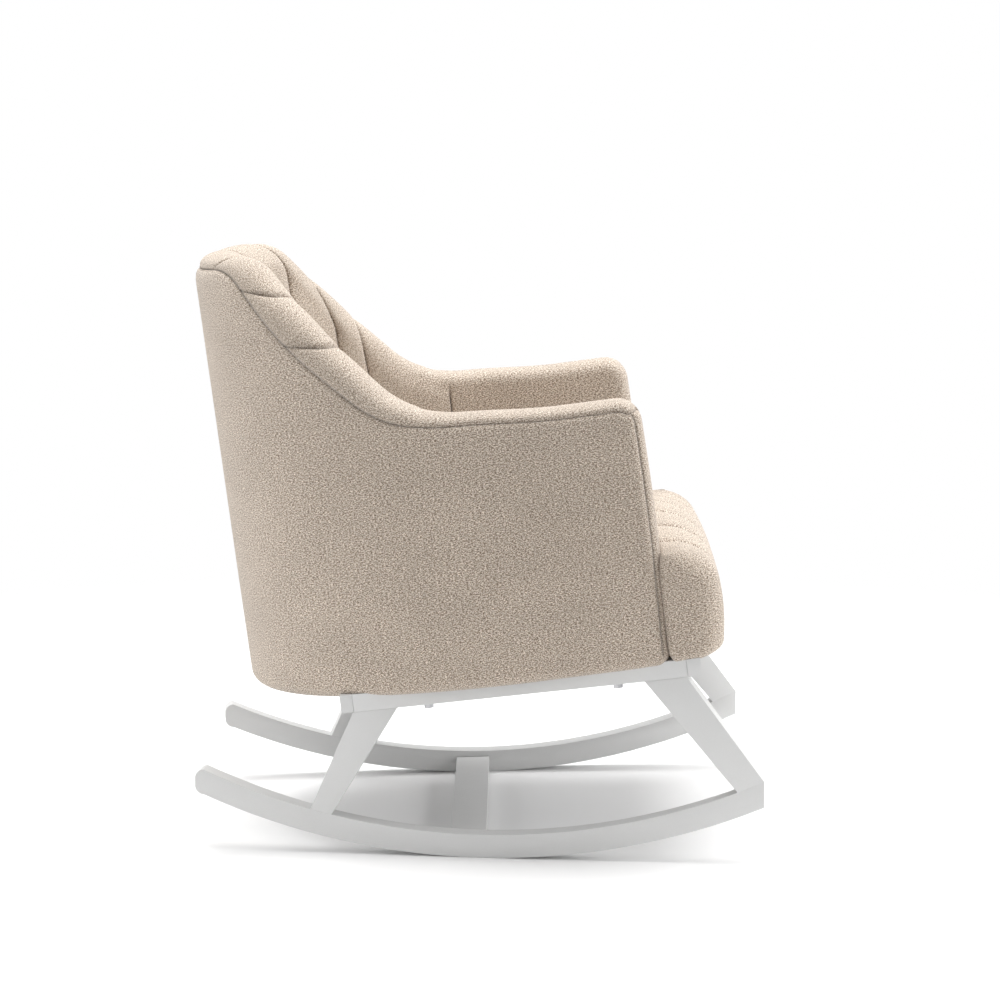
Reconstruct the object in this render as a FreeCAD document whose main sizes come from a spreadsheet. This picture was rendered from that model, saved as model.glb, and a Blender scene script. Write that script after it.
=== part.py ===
import FreeCAD, Part

# Upholstered nursery rocking chair: a tub body on a painted timber base with two curved runners.
# Units are millimetres. +Z is up, the sitter faces -Y, X runs across the chair. The origin is on the
# floor, in the middle of the chair's outline. The tub and the rails under it are tipped back together
# by the recline angle, so they are drawn upright in the tub's own frame and then tipped.

import math
import os
import re
import Sketcher
from FreeCAD import Vector

SIZES = {
    # side frames: each a runner, two legs and a rail, in one plane that is toed in towards the back
    "frame_overhang": (40.5, "tub's side beyond the outside of a side frame, at the origin"),
    "frame_toe": (6.5, "angle of each side frame to the centre line, degrees"),
    "frame_thickness": (32, "timber thickness of runners, legs and rails"),
    "runner_radius": (1030, "radius of the runner's underside"),
    "runner_depth": (34, "runner height, underside to top"),
    "runner_low": (-9, "where the runner touches the floor, along the frame"),
    "runner_front": (-420, "cut front end of the runner"),
    "runner_back": (408, "rounded back end of the runner"),
    "runner_tip": (13, "rounding of the runner's back end"),
    "recline": (7.5, "tilt of the rails and the tub, degrees"),
    "rail_height": (26, "height of the side and cross rails"),
    "rail_top": (259, "height of the rails' top at the origin"),
    "rear_leg_top_back": (174, "rear leg, back edge at the rail"),
    "rear_leg_top_width": (64, "rear leg, width along the rail"),
    "rear_leg_foot_back": (238, "rear leg, back edge at the runner"),
    "rear_leg_foot_width": (31, "rear leg, width at the runner"),
    "front_leg_top_back": (-248, "front leg, back edge at the rail"),
    "front_leg_top_width": (60, "front leg, width along the rail"),
    "front_leg_foot_back": (-382, "front leg, back edge at the runner"),
    "rear_cross_depth": (18, "thickness of the rear cross rail"),
    "front_cross_depth": (20, "thickness of the front cross rail"),
    "stretcher_width": (52, "flat board between the runners, front to back"),
    "stretcher_thickness": (18, "thickness of that board"),
    "stretcher_y": (8, "its middle"),
    "stretcher_z": (7, "its underside above the floor"),
    # hardware
    "dowel_diameter": (8, "wooden dowel"),
    "dowel_length": (36, "wooden dowel"),
    "dowel_pitch": (16, "between the two dowels of a joint"),
    "rear_foot_pitch": (11, "between the two dowels at a rear leg's foot"),
    "rear_foot_lean": (14, "tilt of those dowels, degrees"),
    "front_foot_lean": (-22, "tilt of the dowels at a front leg's foot, degrees"),
    "screw_diameter": (5, "cross rail screw"),
    "screw_head": (10, "its head"),
    "screw_length": (35, "its length with the head"),
    "screw_pitch": (15, "between the two screws of a joint"),
    "bolt_diameter": (8, "bolts that hold the tub to the rails"),
    "bolt_head_diameter": (14, "their heads"),
    "bolt_head_height": (6, "their heads"),
    "bolt_socket": (5, "round recess in each head"),
    "washer_diameter": (22, "washer under each bolt head"),
    "washer_thickness": (1.6, "washer under each bolt head"),
    "insert_diameter": (12, "threaded insert in the seat frame"),
    "insert_length": (18, "threaded insert in the seat frame"),
    "bolt_inset": (20, "bolts, inwards from the rail's outer face"),
    "bolt_front": (-205, "front bolts, along the tub"),
    "bolt_back": (70, "back bolts, along the tub"),
    "pad_thickness": (3, "felt pads between the rails and the tub"),
    "pad_diameter": (26, "felt pads"),
    "fit": (0.3, "clearance between pieces that are not pressed together"),
    "bore_fit": (0.2, "radial clearance of a hole around its dowel, screw or bolt"),
    # tub, in its own frame
    "half_width": (333, "half of the tub's width at the arms"),
    "side_start": (-90, "where the straight arms begin to curve inwards"),
    "side_radius": (600, "radius of the tub's side"),
    "side_angle": (26, "how far the side turns before the back's arc, degrees"),
    "arm_front": (-285, "front of the arms"),
    "arm_split": (30, "where the arm pads meet the back pad"),
    "wall_thickness": (75, "thickness of the padded arms and back"),
    "arm_height": (386, "top of the arms above the tub's underside"),
    "back_height": (642, "top of the back above the tub's underside"),
    "rise_start": (-35, "where the top edge leaves the arms"),
    "rise_radius": (160, "hollow of the top edge above the arms"),
    "crest_radius": (61, "round of the top edge beside the crest"),
    "rise_angle": (50, "slope of the top edge between the two, degrees"),
    "cover_thickness": (2, "upholstery fabric with its backing"),
    "liner_thickness": (2.5, "fibreboard liner behind the outside cover"),
    "cavity_depth": (20, "hollow between the liner and the plywood panels"),
    "liner_lift": (24, "liner above the tub's underside"),
    "liner_front": (30, "liner behind the arms' fronts"),
    "liner_drop": (58, "liner below the top edge"),
    "panel_thickness": (9, "plywood of the arm and back panels"),
    "panel_front": (12, "padding ahead of the arm panels' front edges"),
    "panel_setback": (26, "panels below the padded top edge"),
    "outer_seam_drop": (30, "outside cover ends this far below the top edge"),
    "overcut": (60, "how far the outline that cuts the top edge runs past the tub"),
    # seat
    "seat_front": (-375, "front of the seat"),
    "seat_height": (172, "top of the seat foam above the tub's underside"),
    "seat_corner": (34, "rounding of the seat's front corners and edges"),
    "seat_rail_height": (64, "timber seat frame"),
    "seat_rail_thickness": (30, "front rail of the seat frame"),
    "seat_rail_inset": (12, "side rails of the seat frame, inwards from the side rails below"),
    "seat_rail_depth": (30, "thickness of those side rails"),
    "seat_rail_lift": (1.5, "seat frame above the tub's underside"),
    "seat_rail_front": (-313, "front ends of the seat frame's side rails"),
    "seat_rail_back": (118, "their back ends"),
    "back_rail_depth": (60, "curved back rail, inwards from the tub's outside"),
    "back_rail_height": (40, "curved back rail"),
    "spring_landing": (12, "how far the springs reach onto the rails"),
    "dust_cover_thickness": (1.2, "lining under the tub"),
    "dust_cover_inset": (22, "its edge, inwards from the tub's outside"),
    "spring_wire": (3.6, "sinuous spring wire"),
    "spring_pitch": (25, "between two bends of a spring"),
    "spring_span": (44, "width of a spring"),
    "spring_spacing": (88, "between two springs"),
    "insulator_thickness": (5, "felt between the springs and the seat foam"),
    "clip_length": (16, "spring clip"),
    "clip_height": (7, "spring clip"),
    "block_leg": (52, "corner block, along each rail"),
    "block_height": (40, "corner block"),
}

DERIVED = {
    "rail_slope": "tan(recline) * cos(frame_toe)",
    "rail_drop": "rail_height / cos(recline)",
    "rail_sink": "rail_height + pad_thickness",
    "rail_front": "((front_leg_top_back - front_leg_top_width) * cos(frame_toe)"
                  " + rail_sink * sin(recline)) / cos(recline)",
    "rail_back": "(rear_leg_top_back * cos(frame_toe) + rail_sink * sin(recline)) / cos(recline)",
    "frame_width": "2 * (half_width - frame_overhang)",
    "frame_inside": "frame_width / 2 - frame_thickness / cos(frame_toe)",
    "back_radius": "(half_width - side_radius * (1 - cos(side_angle))) / cos(side_angle)",
    "back_centre": "side_start + (side_radius - back_radius) * sin(side_angle)",
    "tub_back": "back_centre + back_radius",
    "crest_start": "rise_start + ((back_height - arm_height - rise_radius - crest_radius)"
                   " * cos(rise_angle) + rise_radius + crest_radius) / sin(rise_angle)",
    "tub_base": "rail_top + pad_thickness / cos(recline)",
    "seat_rail_top": "seat_rail_lift + seat_rail_height",
    "spring_z": "seat_rail_top + spring_wire / 2 + fit",
    "felt_base": "seat_rail_top + clip_height + 2 * fit",
    "foam_base": "felt_base + insulator_thickness + fit",
    "liner_inset": "cover_thickness + fit",
    "liner_inner": "liner_inset + liner_thickness",
    "panel_inset": "liner_inner + cavity_depth",
    "board_inset": "panel_inset + panel_thickness",
    "foam_inset": "cover_thickness + fit",
    "foam_inner": "wall_thickness - cover_thickness - fit",
    "front_rail_half": "frame_width / 2 - seat_rail_inset / cos(frame_toe)"
                       " - seat_rail_front * cos(recline) * tan(frame_toe)",
}

SPRINGS = 5
PARTS_FOLDER = "parts"

doc = FreeCAD.newDocument("NurseryRocker")
sizes = doc.addObject("Spreadsheet::Sheet", "Sizes")
for row, (alias, entry) in enumerate(list(SIZES.items()) + list(DERIVED.items()), start=1):
    text = str(entry[0]) if isinstance(entry, tuple) else "=" + entry
    sizes.set(f"A{row}", alias)
    sizes.set(f"B{row}", text)
    sizes.setAlias(f"B{row}", alias)
    if isinstance(entry, tuple):
        sizes.set(f"C{row}", entry[1])
doc.recompute()

ALIAS = re.compile(r"\b(" + "|".join(list(SIZES) + list(DERIVED)) + r")\b")
nodes = []


def size(formula):
    """The number that a formula of sheet aliases gives."""
    return float(sizes.evalExpression(str(formula)))


def bind(target, prop, formula):
    """Ties a property of an object to the sheet."""
    target.setExpression(prop, ALIAS.sub(r"Sizes.\1", str(formula)))


def node(obj, label):
    """Marks an object as a finished sub-part; its Label names its file."""
    obj.Label = label
    nodes.append(obj)
    return obj


# ---------------------------------------------------------------- frames of reference

TUB = "placement(vector(0; 0; tub_base); rotation(vector(1; 0; 0); -recline))"
SIDES = {"left": -1, "right": 1}


def side_frame(side):
    """The middle plane of a side frame, toed in towards the back."""
    return (f"placement(vector({side} * (frame_width - frame_thickness / cos(frame_toe)) / 2; 0; 0);"
            f" rotation(vector(0; 0; 1); {side} * frame_toe))")


def moved(place, x, y, z, tilt=0):
    """A place shifted within another one, and turned about its own X."""
    return f"{place} * placement(vector({x}; {y}; {z}); rotation(vector(1; 0; 0); {tilt}))"


def across(place, x, y, z):
    """The same, with the object's own Z laid along X."""
    return f"{place} * placement(vector({x}; {y}; {z}); rotation(vector(0; 1; 0); 90))"


# ---------------------------------------------------------------- modelling helpers

def profile(body, role, name, corners, arcs=None):
    """A closed sketch. corners are pairs of formulas; arcs maps an edge's number to (radius, side), where
    side is 1 when the arc's centre lies to the left of the edge and -1 when it lies to the right."""
    arcs = arcs or {}
    sketch = body.newObject("Sketcher::SketchObject", name)
    plane = next(item for item in body.Origin.OriginFeatures if item.Role == role)
    sketch.AttachmentSupport = [(plane, "")]
    sketch.MapMode = "FlatFace"
    points = [Vector(size(x), size(y), 0) for x, y in corners]
    ends = []
    for number, start in enumerate(points):
        end = points[(number + 1) % len(points)]
        if number not in arcs:
            sketch.addGeometry(Part.LineSegment(start, end))
            ends.append((1, 2))
            continue
        radius, turn = size(arcs[number][0]), arcs[number][1]
        chord = end - start
        normal = Vector(-chord.y, chord.x, 0).normalize() * turn
        centre = (start + end) * 0.5 + normal * math.sqrt(max(radius ** 2 - (chord.Length / 2) ** 2, 0))
        first, last = (start, end) if turn > 0 else (end, start)
        begin = math.atan2(first.y - centre.y, first.x - centre.x)
        finish = math.atan2(last.y - centre.y, last.x - centre.x)
        circle = Part.Circle(centre, Vector(0, 0, 1), radius)
        sketch.addGeometry(Part.ArcOfCircle(circle, begin, finish))
        ends.append((1, 2) if turn > 0 else (2, 1))
    for number in range(len(points)):
        following = (number + 1) % len(points)
        sketch.addConstraint(
            Sketcher.Constraint("Coincident", number, ends[number][1], following, ends[following][0]))
    for number, (x, y) in enumerate(corners):
        for axis, formula, value in (("DistanceX", x, points[number].x), ("DistanceY", y, points[number].y)):
            index = sketch.addConstraint(
                Sketcher.Constraint(axis, -1, 1, number, ends[number][0], value))
            sketch.renameConstraint(index, f"{axis[-1].lower()}{number}")
            bind(sketch, f"Constraints.{axis[-1].lower()}{number}", formula)
    for number, (radius, turn) in arcs.items():
        index = sketch.addConstraint(Sketcher.Constraint("Radius", number, size(radius)))
        sketch.renameConstraint(index, f"radius{number}")
        bind(sketch, f"Constraints.radius{number}", radius)
    return sketch


def pad(body, sketch, length, symmetric=False):
    """Gives a sketch its thickness, along the sketch's normal or to both sides of it."""
    feature = body.newObject("PartDesign::Pad", body.Name + "_pad")
    feature.Profile = sketch
    bind(feature, "Length", length)
    feature.SideType = "Symmetric" if symmetric else "One side"
    sketch.Visibility = False
    doc.recompute()
    return feature


def pocket(body, sketch):
    """Cuts a sketch right through the body, to both sides, and makes sure that something was cut."""
    before = body.Shape.Volume
    feature = body.newObject("PartDesign::Pocket", body.Name + "_pocket")
    feature.Profile = sketch
    feature.Type = "ThroughAll"
    feature.SideType = "Symmetric"
    doc.recompute()
    if body.Shape.Volume >= before:
        raise RuntimeError(f"{feature.Name} cuts nothing")
    return feature


def new_body(name, place):
    body = doc.addObject("PartDesign::Body", name)
    bind(body, "Placement", place)
    return body


def cylinder(name, radius, height, place):
    obj = doc.addObject("Part::Cylinder", name)
    bind(obj, "Radius", radius)
    bind(obj, "Height", height)
    bind(obj, "Placement", place)
    return obj


def box(name, length, width, height, place):
    obj = doc.addObject("Part::Box", name)
    bind(obj, "Length", length)
    bind(obj, "Width", width)
    bind(obj, "Height", height)
    bind(obj, "Placement", place)
    return obj


def group(name, members):
    """Several separate solids as one object."""
    obj = doc.addObject("Part::Compound", name)
    obj.Links = members
    return obj


def cut(name, base, tool):
    obj = doc.addObject("Part::Cut", name)
    obj.Base = base
    obj.Tool = tool
    return obj


def fuse(name, members):
    obj = doc.addObject("Part::MultiFuse", name)
    obj.Shapes = members
    return obj


# ---------------------------------------------------------------- side frames

def rail_under(y):
    """Height of the rails' underside at y along the frame."""
    return f"(rail_top - rail_drop - rail_slope * ({y}))"


def runner_top(y):
    """Height of the runner's top at y along the frame."""
    return f"(runner_radius - sqrt((runner_radius - runner_depth)^2 - (({y}) - runner_low)^2))"


def runner_foot(y):
    """Height of the runner's underside at y along the frame."""
    return f"(runner_radius - sqrt(runner_radius^2 - (({y}) - runner_low)^2))"


def make_runner(name, place):
    body = new_body(name + "_body", place)
    back_face = "(runner_back - runner_tip)"
    corners = [
        ("runner_front", runner_foot("runner_front")),
        (back_face, runner_foot(back_face)),
        ("runner_back", f"({runner_foot(back_face)} + runner_tip)"),
        ("runner_back", f"({runner_top(back_face)} - runner_tip)"),
        (back_face, runner_top(back_face)),
        ("runner_front", runner_top("runner_front")),
    ]
    arcs = {
        0: ("runner_radius", 1),
        1: ("runner_tip", 1),
        3: ("runner_tip", 1),
        4: ("runner_radius - runner_depth", -1),
    }
    pad(body, profile(body, "YZ_Plane", name + "_outline", corners, arcs), "frame_thickness", True)
    return body


def make_leg(name, place, top_back, top_width, foot_back, foot_front):
    """A tapered leg from the rail's underside down to the runner's top."""
    body = new_body(name + "_body", place)
    top_front = f"({top_back} - {top_width})"
    corners = [
        (foot_front, runner_top(foot_front)),
        (foot_back, runner_top(foot_back)),
        (top_back, rail_under(top_back) + " - fit"),
        (top_front, rail_under(top_front) + " - fit"),
    ]
    arcs = {0: ("runner_radius - runner_depth", 1)}
    pad(body, profile(body, "YZ_Plane", name + "_outline", corners, arcs), "frame_thickness", True)
    return body


def frame_x(y, side, inset=0):
    """Distance from the middle to a toed side frame at y along the tub, inset from its outer face."""
    return f"({side} * (frame_width / 2 - {inset} / cos(frame_toe) - ({y}) * cos(recline) * tan(frame_toe)))"


def make_toed_bar(name, side, front, back, insets, height, base):
    """A straight bar along a side frame, with ends square to the chair."""
    body = new_body(name + "_body", moved(TUB, 0, 0, base))
    outer, inner = insets
    corners = [
        (frame_x(front, side, outer), front),
        (frame_x(back, side, outer), back),
        (frame_x(back, side, inner), back),
        (frame_x(front, side, inner), front),
    ]
    pad(body, profile(body, "XY_Plane", name + "_outline", corners), height)
    return body


def make_dowels(side_name, side):
    """Two dowels at each end of both legs, in the middle of the timber, and the holes for them."""
    rear_top = "(rear_leg_top_back - rear_leg_top_width / 2)"
    rear_foot = "(rear_leg_foot_back - rear_leg_foot_width / 2)"
    front_top = "(front_leg_top_back - front_leg_top_width / 2)"
    front_foot = "((front_leg_foot_back + runner_front) / 2)"
    spots = [
        ("rear_top", rear_top, rail_under(rear_top), "-recline", "0.4", "dowel_pitch"),
        ("front_top", front_top, rail_under(front_top), "-recline", "0.4", "dowel_pitch"),
        ("rear_foot", rear_foot, runner_top(rear_foot), "rear_foot_lean", "0.5", "rear_foot_pitch"),
        ("front_foot", front_foot, runner_top(front_foot), "front_foot_lean", "0.5", "dowel_pitch"),
    ]
    pins, bores = [], []
    for spot, y, z, lean, share, pitch in spots:
        joint = moved(side_frame(side), 0, y, z, lean)
        for step in (-1, 1):
            name = f"{spot}_{side_name}_{step + 1}"
            low = f"({share} - 1) * dowel_length"
            offset = f"{step} * {pitch} / 2"
            pins.append(cylinder("dowel_" + name, "dowel_diameter / 2", "dowel_length",
                                 moved(joint, 0, offset, low)))
            bores.append(cylinder("bore_" + name, "dowel_diameter / 2 + bore_fit",
                                  "dowel_length + 2 * bore_fit",
                                  moved(joint, 0, offset, low + " - bore_fit")))
    return pins, bores


def make_stretcher_dowels(side_name, side):
    """Two dowels through each end of the stretcher into the runner."""
    pins, bores = [], []
    for step in (-1, 1):
        y = f"stretcher_y + {step} * dowel_pitch"
        middle = f"{side} * (frame_inside - ({y}) * tan(frame_toe))"
        place = across("placement(vector(0; 0; 0))", f"{middle} - dowel_length / 2", y,
                       "stretcher_z + stretcher_thickness / 2")
        name = f"stretcher_{side_name}_{step + 1}"
        pins.append(cylinder("dowel_" + name, "dowel_diameter / 2", "dowel_length", place))
        bores.append(cylinder("bore_" + name, "dowel_diameter / 2 + bore_fit",
                              "dowel_length + 2 * bore_fit",
                              moved(place, 0, 0, "-bore_fit")))
    return pins, bores


def make_screws(end_name, face, direction):
    """Two screws at each end of a cross rail, heads flush with its outer face, and the holes for them."""
    pins, bores = [], []
    for side_name, side in SIDES.items():
        middle = frame_x(face, side, "(frame_thickness / 2)")
        for step in (-1, 1):
            name = f"{end_name}_{side_name}_{step + 1}"
            place = (f"{TUB} * placement(vector({middle} + {step} * screw_pitch / 2; {face};"
                     f" -pad_thickness - rail_height / 2); rotation(vector(1; 0; 0); {direction} * 90))")
            shank = cylinder("shank_" + name, "screw_diameter / 2", "screw_length", place)
            head = cylinder("head_" + name, "screw_head / 2", "screw_diameter / 2", place)
            pins.append(fuse("screw_" + name, [shank, head]))
            hole = cylinder("hole_" + name, "screw_diameter / 2 + bore_fit", "screw_length + bore_fit", place)
            sink = cylinder("sink_" + name, "screw_head / 2 + bore_fit",
                            "screw_diameter / 2 + bore_fit", place)
            bores += [hole, sink]
    return pins, bores


stretcher_body = new_body("stretcher_body", "placement(vector(0; 0; stretcher_z);"
                                            " rotation(vector(1; 0; 0); 0))")
edges = {"front": "(stretcher_y - stretcher_width / 2)", "back": "(stretcher_y + stretcher_width / 2)"}
ends = {edge: f"(frame_inside - {y} * tan(frame_toe) - fit)" for edge, y in edges.items()}
pad(stretcher_body, profile(stretcher_body, "XY_Plane", "stretcher_outline", [
    ("-" + ends["front"], edges["front"]),
    (ends["front"], edges["front"]),
    (ends["back"], edges["back"]),
    ("-" + ends["back"], edges["back"]),
]), "stretcher_thickness")

rear_face = "(rail_back + fit + rear_cross_depth)"
front_face = "(rail_front - fit - front_cross_depth)"
rear_screws, rear_screw_bores = make_screws("rear", rear_face, 1)
front_screws, front_screw_bores = make_screws("front", front_face, -1)
screw_bores = group("screw_bores", rear_screw_bores + front_screw_bores)
node(group("cross_rail_screws_set", rear_screws + front_screws), "cross_rail_screws")

bolts, washers, inserts, felt_pads, bolt_bores = [], [], [], [], []
for side_name, side in SIDES.items():
    for end_name, y in (("front", "bolt_front"), ("back", "bolt_back")):
        name = f"{end_name}_{side_name}"
        x = frame_x(y, side, "bolt_inset")
        bottom = moved(TUB, x, y, "-pad_thickness - rail_height - fit")
        shank = cylinder("bolt_shank_" + name, "bolt_diameter / 2",
                         "rail_height + pad_thickness + seat_rail_lift + insert_length - fit",
                         moved(bottom, 0, 0, "0"))
        head = cylinder("bolt_head_" + name, "bolt_head_diameter / 2",
                        "bolt_head_height + washer_thickness + fit",
                        moved(bottom, 0, 0, "-washer_thickness - bolt_head_height - fit"))
        socket = cylinder("bolt_socket_" + name, "bolt_socket / 2", "bolt_head_height / 2",
                          moved(bottom, 0, 0, "-washer_thickness - bolt_head_height - fit"))
        collar = cylinder("bolt_collar_" + name, "bolt_head_diameter / 2 + fit",
                          "washer_thickness + fit", moved(bottom, 0, 0, "-washer_thickness - fit"))
        core = cylinder("bolt_core_" + name, "bolt_diameter / 2", "washer_thickness + 2 * fit",
                        moved(bottom, 0, 0, "-washer_thickness - fit"))
        turned = fuse("bolt_turned_" + name, [cut("bolt_neck_" + name, head, collar), core, shank])
        bolts.append(cut("bolt_" + name, turned, socket))
        disc = cylinder("washer_disc_" + name, "washer_diameter / 2", "washer_thickness",
                        moved(bottom, 0, 0, "-washer_thickness"))
        eye = cylinder("washer_eye_" + name, "bolt_diameter / 2 + bore_fit", "washer_thickness + 2 * fit",
                       moved(bottom, 0, 0, "-washer_thickness - fit"))
        washers.append(cut("washer_" + name, disc, eye))
        base = moved(TUB, x, y, "-pad_thickness")
        felt = cylinder("felt_disc_" + name, "pad_diameter / 2", "pad_thickness - fit", base)
        hole = cylinder("bolt_hole_" + name, "bolt_diameter / 2 + bore_fit",
                        "3 * rail_height", moved(TUB, x, y, "-2 * rail_height"))
        felt_pads.append(cut("felt_" + name, felt, hole))
        sleeve = cylinder("insert_body_" + name, "insert_diameter / 2", "insert_length",
                          moved(TUB, x, y, "seat_rail_lift"))
        inserts.append(cut("insert_" + name, sleeve, hole))
        seat_hole = cylinder("insert_hole_" + name, "insert_diameter / 2 + bore_fit",
                             "insert_length + fit", moved(TUB, x, y, "seat_rail_lift"))
        bolt_bores += [hole, seat_hole]
bolt_bore_set = group("bolt_bores", bolt_bores)
node(group("bolt_set", bolts), "seat_bolts")
node(group("washer_set", washers), "bolt_washers")
node(group("insert_set", inserts), "threaded_inserts")
node(group("felt_set", felt_pads), "felt_pads")

leg_dowels, end_dowels, stretcher_bores = [], [], []
for side_name, side in SIDES.items():
    place = side_frame(side)
    pins, bores = make_dowels(side_name, side)
    leg_dowels += pins
    end_pins, end_bores = make_stretcher_dowels(side_name, side)
    end_dowels += end_pins
    stretcher_bores += end_bores
    frame_bores = group("frame_bores_" + side_name, bores + end_bores)
    runner = make_runner("runner_" + side_name, place)
    rear_leg = make_leg("rear_leg_" + side_name, place, "rear_leg_top_back", "rear_leg_top_width",
                        "rear_leg_foot_back", "(rear_leg_foot_back - rear_leg_foot_width)")
    front_leg = make_leg("front_leg_" + side_name, place, "front_leg_top_back", "front_leg_top_width",
                         "front_leg_foot_back", "runner_front")
    for name, blank in (("runner_", runner), ("rear_leg_", rear_leg), ("front_leg_", front_leg)):
        node(cut(name + side_name + "_bored", blank, frame_bores), name + side_name)
    rail = make_toed_bar("side_rail_" + side_name, side, "rail_front", "rail_back",
                         ("0", "frame_thickness"), "rail_height", "-pad_thickness - rail_height")
    rail_bores = group("rail_bores_" + side_name, [frame_bores, screw_bores, bolt_bore_set])
    node(cut("side_rail_" + side_name + "_bored", rail, rail_bores), "side_rail_" + side_name)
node(group("leg_dowel_set", leg_dowels), "leg_dowels")
node(group("stretcher_dowel_set", end_dowels), "stretcher_dowels")
node(cut("stretcher_bored", stretcher_body, group("stretcher_bores", stretcher_bores)), "stretcher")

for name, low, depth in (("rear", "rail_back + fit", "rear_cross_depth"),
                         ("front", front_face, "front_cross_depth")):
    half = frame_x(f"{low} + {depth} / 2", 1)
    bar = box(name + "_cross_bar", f"2 * {half}", depth, "rail_height",
              moved(TUB, f"-{half}", low, "-pad_thickness - rail_height"))
    node(cut(name + "_cross_bored", bar, screw_bores), name + "_cross_rail")

# ---------------------------------------------------------------- tub walls

def arc_point(inset, side):
    """Where the side's arc meets the back's arc, for a wall line inset from the tub's outside."""
    reach = f"(side_radius - {inset})"
    return (f"({side} * (half_width - side_radius + {reach} * cos(side_angle)))",
            f"(side_start + {reach} * sin(side_angle))")


def arm_point(inset, side, y):
    return f"({side} * (half_width - {inset}))", y


def side_point(inset, side, y):
    """A point of the side's arc at depth y."""
    return (f"({side} * (half_width - side_radius + sqrt((side_radius - {inset})^2"
            f" - ({y} - side_start)^2)))", y)


def wall_wrap(outer, inner, front):
    """Plan of a wall that runs from one arm's front round the back to the other's."""
    line = [arm_point(outer, 1, front), arm_point(outer, 1, "side_start"), arc_point(outer, 1),
            arc_point(outer, -1), arm_point(outer, -1, "side_start"), arm_point(outer, -1, front)]
    back = [arm_point(inner, -1, front), arm_point(inner, -1, "side_start"), arc_point(inner, -1),
            arc_point(inner, 1), arm_point(inner, 1, "side_start"), arm_point(inner, 1, front)]
    arcs = {1: (f"side_radius - {outer}", 1), 2: (f"back_radius - {outer}", 1),
            3: (f"side_radius - {outer}", 1), 7: (f"side_radius - {inner}", -1),
            8: (f"back_radius - {inner}", -1), 9: (f"side_radius - {inner}", -1)}
    return line + back, arcs


def wall_back(outer, inner, start):
    """Plan of the wall round the back, from one side's start to the other's."""
    line = [side_point(outer, 1, start), arc_point(outer, 1),
            arc_point(outer, -1), side_point(outer, -1, start)]
    back = [side_point(inner, -1, start), arc_point(inner, -1),
            arc_point(inner, 1), side_point(inner, 1, start)]
    arcs = {0: (f"side_radius - {outer}", 1), 1: (f"back_radius - {outer}", 1),
            2: (f"side_radius - {outer}", 1), 4: (f"side_radius - {inner}", -1),
            5: (f"back_radius - {inner}", -1), 6: (f"side_radius - {inner}", -1)}
    return line + back, arcs


def wall_arm(outer, inner, front, end, side):
    """Plan of one arm, from its front to where the back begins."""
    corners = [arm_point(outer, side, front), arm_point(outer, side, "side_start"),
               side_point(outer, side, end), side_point(inner, side, end),
               arm_point(inner, side, "side_start"), arm_point(inner, side, front)]
    arcs = {1: (f"side_radius - {outer}", side), 3: (f"side_radius - {inner}", -side)}
    return corners, arcs


def crest_outline(drop):
    """Side view of everything above the top edge of the tub, lowered by drop."""
    hollow = f"(rise_radius + {drop})"
    round_over = f"(crest_radius - {drop})"
    arm_top = f"(arm_height - {drop})"
    back_top = f"(back_height - {drop})"
    corners = [
        ("(arm_front - overcut)", arm_top),
        ("rise_start", arm_top),
        (f"(rise_start + {hollow} * sin(rise_angle))",
         f"(arm_height + rise_radius - {hollow} * cos(rise_angle))"),
        (f"(crest_start - {round_over} * sin(rise_angle))",
         f"(back_height - crest_radius + {round_over} * cos(rise_angle))"),
        ("crest_start", back_top),
        ("(tub_back + overcut)", back_top),
        ("(tub_back + overcut)", "(back_height + overcut)"),
        ("(arm_front - overcut)", "(back_height + overcut)"),
    ]
    return corners, {1: (hollow, 1), 3: (round_over, -1)}


def make_wall(name, plan, base, drop):
    """A wall on the given plan, from base up to the top edge lowered by drop."""
    body = new_body(name, TUB)
    sketch = profile(body, "XY_Plane", name + "_plan", *plan)
    bind(sketch, "AttachmentOffset.Base.z", base)
    pad(body, sketch, f"back_height + overcut / 2 - ({base})")
    corners, arcs = crest_outline(drop)
    outline = profile(body, "YZ_Plane", name + "_crest", corners, arcs)
    pocket(body, outline)
    return body


pad_base = "(seat_rail_top + fit)"
outer_cover = make_wall("outside_cover_wall", wall_wrap("0", "cover_thickness", "arm_front"), "0",
                        "(outer_seam_drop + fit)")
node(outer_cover, "outside_cover")

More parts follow.
